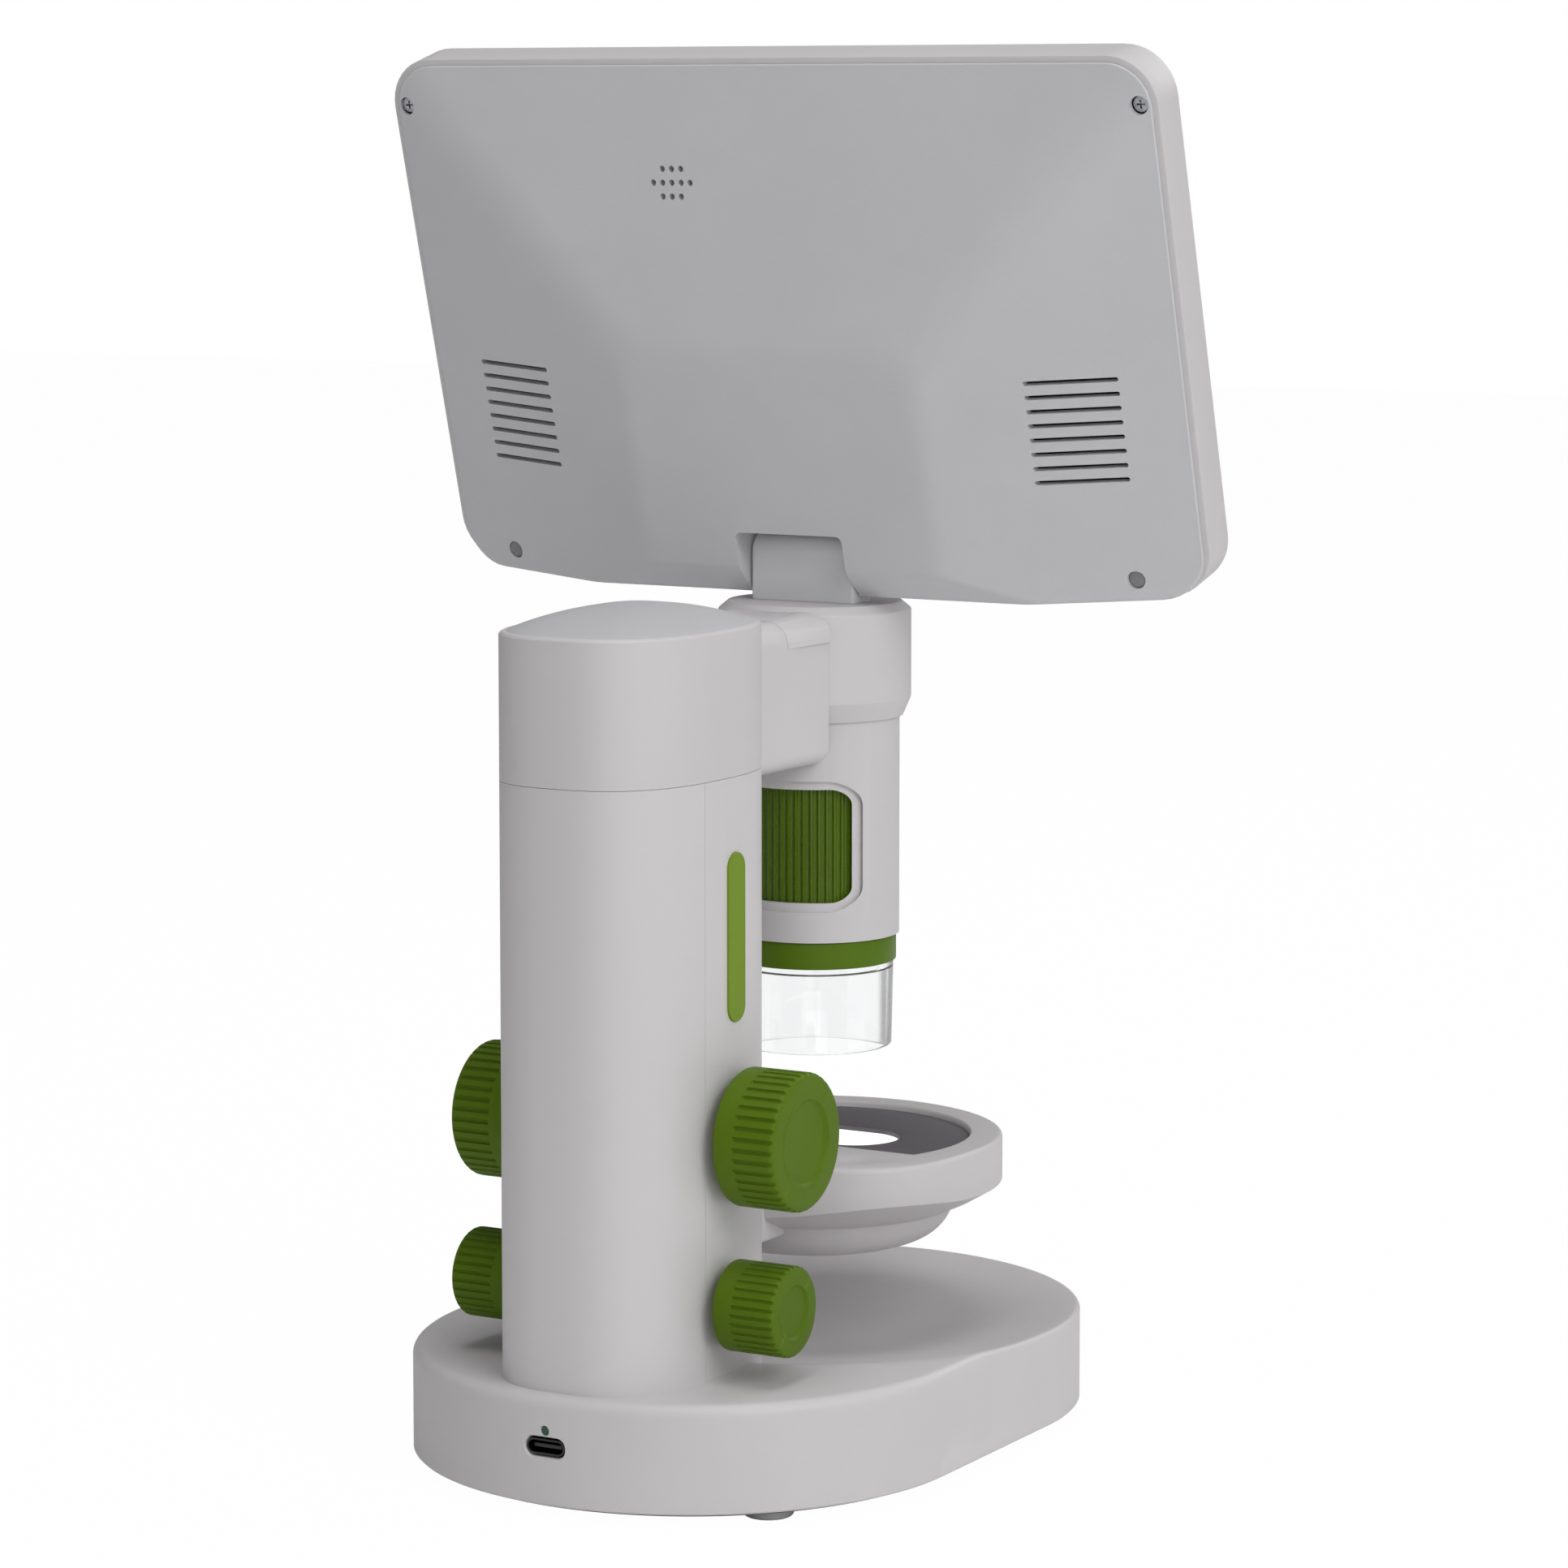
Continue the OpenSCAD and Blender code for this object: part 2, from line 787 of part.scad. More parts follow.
module column_rear_cover() color(pale) {
  intersection() {
    difference() {
      column_prism(0, foot_h, seam_z - seat);
      column_prism(column_wall, foot_h - over, seam_z);
    }
    behind(split_y, foot_h, seam_z);
  }
  intersection() {
    difference() {
      column_prism(column_wall / 2, lip_low, lip_high);
      column_prism(column_wall + lip_t, lip_low - over, lip_high + over);
    }
    difference() {
      behind(split_y, lip_low, lip_high);
      behind(split_y + 2 * lip_deep, lip_low - over, lip_high + over);
    }
  }
  intersection() {
    difference() {
      column_prism(column_wall + hole_gap, lip_low, lip_high);
      column_prism(column_wall + lip_t, lip_low - over, lip_high + over);
    }
    difference() {
      behind(split_y - lip_deep, lip_low, lip_high);
      behind(split_y + lip_deep / 4, lip_low - over, lip_high + over);
    }
  }
}

module column_screws() color(steel) {
  each_column_screw()
    translate([0, 0, foot_roof]) screw(screw_r, screw_head_r, screw_head_h, column_screw_len);
}

module guide_rods() color(steel) {
  each_rod() translate([0, 0, rod_low]) cylinder(r = rod_r, h = rod_high - rod_low);
}

module shaft_bushes() color(steel) {
  for (s = [0, 1])
    mirror([s, 0, 0])
      translate([0, knob_y, knob_z])
        rotate([0, quarter, 0]) {
          tube(bush_r, shaft_r + slip, bush_in, bush_out + bush_flange_t);
          tube(bush_flange_r, shaft_r + slip, bush_out, bush_out + bush_flange_t);
        }
}

module side_strips() color(green) {
  strip_shape(0, strip_deep, strip_proud);
}

module dimmer_board() color(board) {
  difference() {
    translate([-dimmer_board_x, dimmer_board_y, dimmer_board_z])
      cube([2 * dimmer_board_x, dimmer_board_l, board_t]);
    each_dimmer_post()
      translate([0, 0, dimmer_board_z - over]) cylinder(r = peg_r + hole_gap, h = board_t + 2 * over);
  }
  for (s = [0, 1])
    mirror([s, 0, 0])
      difference() {
        translate([pot_in, dimmer_y - pot_half, pot_low]) cube([pot_out - pot_in, 2 * pot_half, pot_h]);
        translate([pot_out - pot_bore_deep, dimmer_y, dimmer_z])
          rotate([0, quarter, 0]) cylinder(r = pot_bore_r + slip, h = pot_bore_deep + over);
      }
}

// Section of the arm, grown or shrunk
module arm_shape(grow) {
  a = arm_a + grow;
  top = arm_top + grow;
  low = arm_low - grow;
  rt = arm_top_round + grow;
  rl = arm_low_round + grow;
  translate([-a, low + rl]) square([2 * a, top - low - rt - rl]);
  translate([rl - a, low]) square([2 * (a - rl), (top - low) / 2]);
  translate([rt - a, (top + low) / 2]) square([2 * (a - rt), (top - low) / 2]);
  for (s = [-1, 1]) {
    translate([s * (a - rt), top - rt]) circle(rt);
    translate([s * (a - rl), low + rl]) circle(rl);
  }
}

module arm_run(grow, back, front) {
  translate([0, back, 0]) rotate([quarter, 0, 0]) linear_extrude(back - front) arm_shape(grow);
}

module head_cylinder(r, low, high) {
  translate([0, head_y, low]) cylinder(r = r, h = high - low, $fn = 96);
}

module each_arm_screw() {
  for (z = [head_screw_low, head_screw_high])
    translate([0, head_y + arm_end_r + arm_end_t, z]) rotate([quarter, 0, 0]) children();
}

module column_head() color(pale) {
  difference() {
    union() {
      difference() {
        union() {
          column_prism(0, seam_z, rim_z - rim_round / 2);
          hull() {
            column_prism(0, rim_z - rim_round, rim_z - rim_round / 2);
            column_prism(rim_round / 5, rim_z - rim_round, rim_z - rim_round / 5);
            column_prism(rim_round / 2, rim_z - rim_round, rim_z);
          }
          difference() {
            arm_run(0, column_y, head_y);
            column_prism(-seat, arm_low - over, seam_z);
            head_cylinder(arm_end_r, arm_low - over, arm_top + over);
          }
        }
        column_prism(column_wall, seam_z - over, rim_z + over);
      }
      difference() {
        union() {
          column_prism(column_wall + seat, seam_z - spigot_h, seam_z + spigot_t);
          column_prism(column_wall / 2, seam_z, seam_z + spigot_t);
        }
        column_prism(column_wall + spigot_t, seam_z - spigot_h - over, seam_z + spigot_t + over);
      }
    }
    difference() {
      arm_run(-arm_wall, column_y, head_y);
      head_cylinder(arm_end_r + arm_end_t, arm_low, arm_top);
    }
    each_arm_screw()
      translate([0, 0, -over]) cylinder(r = screw_r + hole_gap, h = head_screw_len);
    translate([lead_x, head_y + arm_end_r + arm_end_t + over, lead_z])
      rotate([quarter, 0, 0]) cylinder(r = lead_hole_r, h = head_screw_len);
  }
}

// Shares of the oval's size and of the dome's height, from the rim up
dome_shares = [[1, 0.02], [0.85, 0.29], [0.7, 0.52], [0.5, 0.76], [0.3, 0.92], [0.12, 1]];

module column_cap() color(pale) {
  column_prism(column_wall + seat, rim_z - cap_plug_h, rim_z);
  hull()
    for (row = dome_shares)
      column_prism(column_a - row[0] * (column_a - dome_inset), rim_z, rim_z + row[1] * dome_h);
}

module main_lead() color(black) {
  back = lead_y - lead_bend;
  translate([lead_x, lead_y, power_z + board_t]) cylinder(r = lead_r, h = lead_z - lead_bend - power_z - board_t);
  translate([lead_x, back, lead_z - lead_bend])
    rotate([quarter, 0, quarter]) rotate_extrude(angle = quarter) translate([lead_bend, 0]) circle(lead_r);
  translate([lead_x, back, lead_z]) rotate([quarter, 0, 0]) cylinder(r = lead_r, h = back - lead_end);
}

module arm_cover() color(pale) {
  difference() {
    arm_run(cover_t, cover_back, cover_front);
    arm_run(hole_gap, cover_back + over, cover_front - over);
    translate([-arm_a - over, cover_front - over, arm_low - over])
      cube([2 * (arm_a + over), cover_back - cover_front + 2 * over, arm_top - cover_skirt - arm_low + over]);
    head_cylinder(arm_end_r + seat, arm_low, arm_top + over);
  }
}

module head_cap() color(pale) {
  difference() {
    translate([0, head_y, 0])
      rotate_extrude($fn = 96)
        difference() {
          union() {
            polygon([[0, cap_low - cap_skirt], [barrel_fit_r + cap_round, cap_low - cap_skirt],
              [cap_r, cap_low], [cap_r, cap_top - cap_round], [0, cap_top - cap_round]]);
            translate([0, cap_low]) square([cap_r - cap_round, cap_top - cap_low]);
            translate([cap_r - cap_round, cap_top - cap_round]) circle(cap_round);
          }
          translate([-over, cap_low - cap_skirt - over])
            square([barrel_fit_r + over, cap_top - cap_plate - cap_low + cap_skirt + over]);
        }
    each_arm_screw()
      translate([0, 0, -over]) cylinder(r = screw_r + hole_gap, h = head_screw_len);
    each_cap_screw()
      translate([0, 0, -over]) cylinder(r = screw_r + hole_gap, h = cap_plate + 2 * over);
    translate([lead_x, head_y + arm_end_r + arm_end_t + over, lead_z])
      rotate([quarter, 0, 0]) cylinder(r = lead_hole_r, h = head_screw_len);
  }
}

module each_cap_screw() {
  for (s = [-1, 1]) translate([s * head_screw_x, tilt_y, cap_top - cap_plate]) children();
}

module window_prism(grow) {
  for (s = [-1, 1])
    translate([0, head_y, (head_window_low + head_window_high) / 2])
      rotate([s * quarter, 0, 0])
        linear_extrude(barrel_r + over)
          round_box(2 * (head_window_a + grow), head_window_high - head_window_low + 2 * grow,
            head_window_round + grow);
}

module head_barrel() color(shade) {
  difference() {
    translate([0, head_y, 0]) {
      tube(barrel_r, barrel_in, barrel_seat_top, barrel_top);
      tube(barrel_r, barrel_seat_r, barrel_low + barrel_floor_t, barrel_seat_top);
      tube(barrel_r, nose_hole_r, barrel_low, barrel_low + barrel_floor_t);
    }
    window_prism(0);
    difference() {
      window_prism(head_window_bevel);
      head_cylinder((barrel_r + barrel_in) / 2, head_window_low - 2 * head_window_bevel,
        head_window_high + 2 * head_window_bevel);
    }
    each_arm_screw()
      translate([0, 0, -over]) cylinder(r = screw_r + hole_gap, h = head_screw_len + 2 * over);
    translate([lead_x, head_y + arm_end_r + arm_end_t + over, lead_z])
      rotate([quarter, 0, 0]) cylinder(r = lead_hole_r, h = head_screw_len);
  }
}

module lens_ring() color(deep_green) {
  translate([0, head_y, 0]) tube(ring_r, ring_in, ring_low, barrel_low);
}

module clear_shroud() color([0.9, 0.92, 0.93, 0.35]) {
  translate([0, head_y, 0])
    rotate_extrude($fn = 96) {
      polygon([[skirt_low_r - skirt_wall, skirt_low], [skirt_low_r, skirt_low],
        [skirt_top_r, ring_low], [skirt_top_r - skirt_wall, ring_low]]);
      translate([ring_in - seat - skirt_wall, ring_low - skirt_wall])
        square([skirt_wall, skirt_spigot_h + skirt_wall]);
    }
}

module sensor_mount() color(black) {
  translate([0, head_y, 0]) tube(sensor_r, sensor_window_r, sensor_low, sensor_low + sensor_t);
}

module sensor_board() color(board) {
  translate([0, head_y, sensor_board_z]) {
    cylinder(r = sensor_board_r, h = board_t);
    translate([-sensor_chip / 2, -sensor_chip / 2, board_t]) cube([sensor_chip, sensor_chip, sensor_chip_t]);
  }
}

module ring_light() color(board) {
  translate([0, head_y, 0]) {
    tube(ring_board_r, ring_board_in, ring_board_z, ring_board_z + board_t);
    for (i = [1:led_count])
      rotate([0, 0, turn * i / led_count])
        translate([led_circle, 0, ring_board_z - led_h]) cylinder(r = led_r, h = led_h + board_t / 2);
  }
}

module hinge_stem() color(shade) {
  difference() {
    translate([-stem_a, tilt_y, 0]) {
      translate([0, -knuckle_r, cap_top]) cube([2 * stem_a, 2 * knuckle_r, tilt_z - cap_top]);
      translate([0, 0, tilt_z]) rotate([0, quarter, 0]) cylinder(r = knuckle_r, h = 2 * stem_a);
    }
    translate([-stem_a - over, tilt_y, tilt_z])
      rotate([0, quarter, 0]) cylinder(r = pin_r + slip, h = 2 * (stem_a + over));
    each_cap_screw() cylinder(r = screw_r + hole_gap, h = head_screw_len + hole_gap);
  }
}

module head_screws() color(steel) {
  each_cap_screw() screw(screw_r, screw_head_r, screw_head_h, head_screw_len);
  each_arm_screw() screw(screw_r, screw_head_r, screw_head_h, head_screw_len);
}

module focus_wheel() color(green) {
  translate([0, head_y, 0])
    difference() {
      tube(wheel_r, carrier_r + hole_gap, wheel_low, wheel_high);
      for (i = [1:wheel_ribs])
        rotate([0, 0, turn * i / wheel_ribs])
          translate([wheel_r, 0, wheel_low - over])
            cylinder(r = wheel_groove_r, h = wheel_high - wheel_low + 2 * over, $fn = 16);
    }
}

module lens_carrier() color(black) {
  translate([0, head_y, 0]) {
    tube(carrier_r, carrier_r - carrier_wall, carrier_low, carrier_high);
    tube(carrier_r, lens_r + hole_gap, carrier_low, carrier_low + carrier_wall);
    tube(nose_r, lens_r + hole_gap, lens_low, carrier_low + carrier_wall);
    tube(nose_r, lens_r - lens_lip, nose_low, lens_low);
  }
}

module objective_lens() color([0.75, 0.85, 0.9, 0.4]) {
  translate([0, head_y, lens_low])
    intersection() {
      cylinder(r = lens_r, h = lens_t);
      translate([0, 0, lens_t - 2 * lens_r]) sphere(r = 2 * lens_r, $fn = 96);
    }
}

// Outline of the stage: round in front, squarer behind, drawn in by an inset
function stage_outline(inset) = [
  for (i = [0:stage_points - 1])
    let (t = turn * i / stage_points, c = cos(t), s = sin(t),
      share = s > 0 ? 2 / stage_power : 1, depth = s > 0 ? stage_back : stage_r)
      [(stage_r - inset) * sign(c) * pow(abs(c), share), (depth - inset) * sign(s) * pow(abs(s), share)]
];

// The dark plate's outline, a disc with a straight edge behind
module dark_outline(inset) {
  intersection() {
    circle(dark_r - inset, $fn = 96);
    translate([-dark_r, -dark_r]) square([2 * dark_r, dark_r + dark_back - inset]);
  }
}

module each_stage_screw() {
  for (i = [0:stage_screw_count - 1])
    translate([0, head_y, bowl_seat_z])
      rotate([0, 0, stage_screw_turn + turn * i / stage_screw_count])
        translate([stage_screw_at, 0, 0]) children();
}

module each_neck_screw() {
  for (s = [-1, 1])
    translate([s * neck_screw_x, carriage_front + neck_seat, neck_screw_z]) rotate([quarter, 0, 0]) children();
}

module each_lamp_peg() {
  for (i = [0:3]) translate([0, head_y, 0]) rotate([0, 0, quarter * i]) translate([lamp_peg_at, 0, 0]) children();
}

module stage_body() color(pale) {
  difference() {
    union() {
      intersection() {
        translate([0, head_y, stage_low]) linear_extrude(stage_top - stage_low) polygon(stage_outline(0));
        translate([0, head_y, 0])
          rotate_extrude($fn = 96)
            polygon([[0, stage_low], [stage_low_r, stage_low], [stage_mid_r, stage_mid_z],
              [2 * stage_r, stage_mid_z + stage_flare * (2 * stage_r - stage_mid_r)],
              [0, stage_mid_z + stage_flare * (2 * stage_r - stage_mid_r)]]);
      }
      translate([-neck_w / 2, head_y + stage_back - neck_front, neck_low])
        cube([neck_w, carriage_front - head_y - stage_back + neck_front, neck_h]);
    }
    translate([0, head_y, dark_low]) linear_extrude(stage_top) dark_outline(-seat);
    translate([0, head_y, deck_low - over])
      linear_extrude(stage_top) translate([0, window_y]) pill(2 * (window_a - deck_lip), 2 * (window_b - deck_lip));
    difference() {
      translate([0, head_y, stage_low - over]) cylinder(r = hollow_r, h = deck_low - stage_low + over, $fn = 96);
      each_stage_screw() cylinder(r = stage_boss_r, h = deck_low);
      each_lamp_peg() translate([0, 0, lamp_board_z + board_t]) cylinder(r = lamp_peg_r, h = deck_low);
      each_lamp_peg() translate([0, 0, lamp_board_z - peg_r]) cylinder(r = peg_r, h = deck_low);
    }
    each_stage_screw() cylinder(r = small_r + hole_gap, h = stage_screw_len + hole_gap);
    each_neck_screw() cylinder(r = small_r + hole_gap, h = stage_screw_len + hole_gap * 2);
    for (s = [-1, 1])
      translate([s * dimple_x, head_y + dimple_y, stage_top - dimple_deep + dimple_ball])
        sphere(r = dimple_ball, $fn = 48);
  }
}

module stage_plate() color(dark) {
  translate([0, head_y, dark_low])
    linear_extrude(dark_t)
      difference() {
        dark_outline(0);
        translate([0, window_y]) pill(2 * window_a, 2 * window_b);
      }
}

module light_diffuser() color([0.97, 0.97, 0.97]) {
  translate([0, head_y + window_y, dark_low])
    linear_extrude(diffuser_t) pill(2 * (window_a - seat), 2 * (window_b - seat));
}

module stage_lamp_board() color(board) {
  difference() {
    translate([0, head_y, lamp_board_z]) cylinder(r = lamp_board_r, h = board_t);
    each_lamp_peg()
      translate([0, 0, lamp_board_z - over]) cylinder(r = peg_r + hole_gap, h = board_t + 2 * over);
    each_stage_screw() cylinder(r = stage_boss_r + loose, h = deck_low);
  }
  for (i = [1:lamp_led_count])
    translate([0, head_y, lamp_board_z + board_t / 2])
      rotate([0, 0, turn * i / lamp_led_count])
        translate([lamp_led_at, 0, 0]) cylinder(r = lamp_led_r, h = board_t / 2 + lamp_led_h);
}

// Shares of the bowl's radius and of its height, from its flat bottom to its rim
bowl_shares = [[0.55, 0], [0.7, 0.07], [0.84, 0.26], [0.94, 0.58], [1, 1]];

// Outline of the bowl's outside, drawn in by an inset
function bowl_line(inset) = [
  for (row = bowl_shares)
    [row[0] * bowl_r - inset, bowl_low + inset * (1 - row[1]) + row[1] * (bowl_high - bowl_low)]
];

module stage_housing() color(pale) {
  difference() {
    translate([0, head_y, 0])
      rotate_extrude($fn = 96) polygon(concat([[0, bowl_low]], bowl_line(0), [[0, bowl_high]]));
    difference() {
      translate([0, head_y, 0])
        rotate_extrude($fn = 96)
          polygon(concat([[0, bowl_low + bowl_wall]], bowl_line(bowl_wall),
            [[bowl_r - bowl_wall, bowl_high + over], [0, bowl_high + over]]));
      each_stage_screw()
        translate([0, 0, -bowl_seat_z]) cylinder(r = stage_boss_r, h = bowl_seat_z + bowl_wall);
    }
    each_stage_screw() cylinder(r = small_r + hole_gap, h = bowl_wall + over);
    each_stage_screw()
      translate([0, 0, bowl_low - bowl_seat_z - over])
        cylinder(r = small_head_r + seat, h = bowl_seat_z - bowl_low + over);
  }
}

module stage_screws() color(steel) {
  each_stage_screw() screw(small_r, small_head_r, small_head_h, stage_screw_len);
  each_neck_screw() screw(small_r, small_head_r, small_head_h, stage_screw_len);
}

module stage_carriage() color(shade) {
  difference() {
    intersection() {
      translate([-carriage_a, carriage_front, carriage_low])
        cube([2 * carriage_a, carriage_back - carriage_front, carriage_high - carriage_low]);
      column_prism(column_wall + 2 * loose, carriage_low - over, carriage_high + over);
    }
    each_rod() {
      cylinder(r = carriage_free_r, h = carriage_high + over);
      translate([0, 0, carriage_low - over]) cylinder(r = carriage_bush_r + slip, h = carriage_bush_l + over);
      translate([0, 0, carriage_high - carriage_bush_l])
        cylinder(r = carriage_bush_r + slip, h = carriage_bush_l + over);
    }
    each_neck_screw() {
      translate([0, 0, -over]) cylinder(r = small_r + hole_gap, h = neck_seat + 2 * over);
      translate([0, 0, carriage_front + neck_seat - carriage_back - over])
        cylinder(r = small_head_r + seat, h = carriage_back - carriage_front - neck_seat + over);
    }
  }
}

module carriage_bushes() color(steel) {
  each_rod() {
    tube(carriage_bush_r, rod_r + slip, carriage_low, carriage_low + carriage_bush_l);
    tube(carriage_bush_r, rod_r + slip, carriage_high - carriage_bush_l, carriage_high);
  }
}

// Involute angle, in degrees, at a pressure angle
function involute(angle) = tan(angle) * turn / (2 * PI) - angle;

base_circle_r = pinion_pitch_r * cos(pressure);
pinion_tip_r = pinion_pitch_r + gear_module;
pinion_root_r = pinion_pitch_r - dedendum_share * gear_module;
flank_shares = [0, 0.15, 0.35, 0.6, 0.8, 1];

// Half of a tooth's angle at a radius
function tooth_half(r) =
  quarter / pinion_teeth - tooth_play / 2 / pinion_pitch_r * turn / (2 * PI)
  + involute(pressure) - involute(acos(min(1, base_circle_r / r)));

// Radius and signed angle of each point of one tooth
tooth_points = concat(
  [[pinion_root_r, -tooth_half(base_circle_r)]],
  [for (f = flank_shares) let (r = base_circle_r + f * (pinion_tip_r - base_circle_r)) [r, -tooth_half(r)]],
  [for (i = [len(flank_shares) - 1:-1:0])
    let (r = base_circle_r + flank_shares[i] * (pinion_tip_r - base_circle_r)) [r, tooth_half(r)]],
  [[pinion_root_r, tooth_half(base_circle_r)]]
);

module pinion() color(brass) {
  translate([-pinion_half, knob_y, knob_z])
    rotate([quarter, 0, quarter])
      difference() {
        linear_extrude(2 * pinion_half)
          polygon([for (k = [0:pinion_teeth - 1], p = tooth_points)
            let (t = p[1] + k * turn / pinion_teeth) [p[0] * cos(t), p[0] * sin(t)]]);
        translate([0, 0, -over]) cylinder(r = shaft_r + slip, h = 2 * (pinion_half + over));
      }
}

rack_pitch = PI * gear_module;
rack_root = rack_line - dedendum_share * gear_module;
rack_tip = rack_line + gear_module;
rack_half_root = rack_pitch / 4 - tooth_play / 2 + dedendum_share * gear_module * tan(pressure);
rack_half_tip = rack_pitch / 4 - tooth_play / 2 - gear_module * tan(pressure);

module lift_rack() color(brass) {
  first = ceil((rack_low - knob_z) / rack_pitch);
  last = floor((rack_high - knob_z) / rack_pitch) - 1;
  translate([-rack_half, 0, 0])
    rotate([quarter, 0, quarter])
      linear_extrude(2 * rack_half)
        polygon(concat(
          [[rack_root, rack_high], [carriage_back, rack_high], [carriage_back, rack_low], [rack_root, rack_low]],
          [for (k = [first:last]) let (z = knob_z + (k + 1 / 2) * rack_pitch) each [
            [rack_root, z - rack_half_root], [rack_tip, z - rack_half_tip],
            [rack_tip, z + rack_half_tip], [rack_root, z + rack_half_root]]]));
}

module focus_shaft() color(steel) {
  translate([-shaft_half, knob_y, knob_z]) rotate([0, quarter, 0]) cylinder(r = shaft_r, h = 2 * shaft_half);
}

// Ribbed knob along +X from its inner face, with a smooth collar and a dished face
module knob(r, collar_l, bevel, face_r, face_deep, ribs, rib_r) {
  long = knob_out - knob_in;
  translate([knob_in, 0, 0])
    rotate([0, quarter, 0])
      difference() {
        rotate_extrude($fn = 96)
          polygon([[0, 0], [r - bevel / 2, 0], [r, bevel / 2], [r, long - bevel], [r - bevel, long],
            [face_r, long], [face_r - face_deep, long - face_deep], [0, long - face_deep]]);
        for (i = [1:ribs])
          rotate([0, 0, turn * i / ribs])
            translate([r, 0, collar_l]) cylinder(r = rib_r, h = long, $fn = 16);
      }
}

module focus_knob() {
  difference() {
    translate([0, knob_y, knob_z])
      knob(knob_r, knob_collar_l, knob_bevel, knob_face_r, knob_face_deep, knob_ribs, knob_rib_r);
    translate([knob_in - over, knob_y, knob_z])
      rotate([0, quarter, 0]) cylinder(r = shaft_r + slip, h = shaft_half - knob_in + over + seat);
  }
}

module focus_knob_right() color(green) {
  focus_knob();
}

module focus_knob_left() color(green) {
  mirror([1, 0, 0]) focus_knob();
}

module dimmer_knob() {
  translate([0, dimmer_y, dimmer_z]) {
    knob(dimmer_r, dimmer_collar_l, dimmer_bevel, dimmer_face_r, dimmer_face_deep,
      dimmer_ribs, dimmer_rib_r);
    rotate([0, quarter, 0]) {
      translate([0, 0, pot_out + loose]) cylinder(r = stem_r, h = knob_in + seat - pot_out - loose);
      translate([0, 0, pot_out - pot_bore_deep + loose])
        cylinder(r = pot_bore_r, h = pot_bore_deep + seat);
    }
  }
}

module dimmer_knob_right() color(green) {
  dimmer_knob();
}

module dimmer_knob_left() color(green) {
  mirror([1, 0, 0]) dimmer_knob();
}

// Places children drawn in the screen's frame at the pictured lean
module on_screen() {
  translate([0, tilt_y, tilt_z])
    rotate([quarter - screen_lean, 0, 0])
      translate([0, -tilt_v, tilt_w]) children();
}

side_slope = (back_d - back_edge) / (screen_w / 2 - back_edge - back_a);
top_slope = (back_d - back_edge) / (back_top - back_v);

// How much deeper a wall t thick reaches under a face of a given slope
function skew(t, slope) = t * sqrt(1 + slope * slope);

// Section of the screen's back across X, drawn in by t
function back_across(t, high) =
  let (half = back_half - t, edge = back_edge + side_slope * (screen_w / 2 - back_edge - half) - skew(t, side_slope),
    flat = screen_w / 2 - back_edge - (back_d - t - back_edge + skew(t, side_slope)) / side_slope)
  [[-half, high], [-half, -edge], [-flat, t - back_d], [flat, t - back_d], [half, -edge], [half, high]];

// Section of the screen's back along its slope, drawn in by t
function back_along(t, high) =
  let (hip = back_hip + back_hip_slope * t - skew(t, back_hip_slope),
    lower = (back_d - t - back_hip + skew(t, back_hip_slope)) / back_hip_slope,
    upper = back_top - (back_d - t - back_edge + skew(t, top_slope)) / top_slope,
    edge = back_edge + top_slope * t - skew(t, top_slope))
  [[t, high], [t, -hip], [lower, t - back_d], [upper, t - back_d], [back_top - t, -edge], [back_top - t, high]];

module back_body(t, high) {
  intersection() {
    translate([0, back_top, 0])
      rotate([quarter, 0, 0]) linear_extrude(back_top) polygon(back_across(t, high));
    translate([-back_half, 0, 0])
      rotate([quarter, 0, quarter]) linear_extrude(2 * back_half) polygon(back_along(t, high));
    translate([0, back_top / 2, -back_d])
      linear_extrude(back_d + high)
        round_box(2 * (back_half - t), back_top - 2 * t, screen_corner - seam_inset - t);
  }
}

module each_screen_screw() {
  for (s = [-1, 1]) {
    translate([s * corner_screw_x, corner_screw_v, screen_sink_z]) children();
    translate([s * low_screw_x, low_screw_v, screen_sink_z]) children();
  }
}

module each_main_post() {
  for (s = [-1, 1], v = [main_v + main_post_v, main_v + main_l - main_post_v])
    translate([s * main_post_x, v, 0]) children();
}

module each_button_post() {
  for (s = [-1, 1]) translate([s * button_post_x, button_board_v + button_board_l / 2, 0]) children();
}

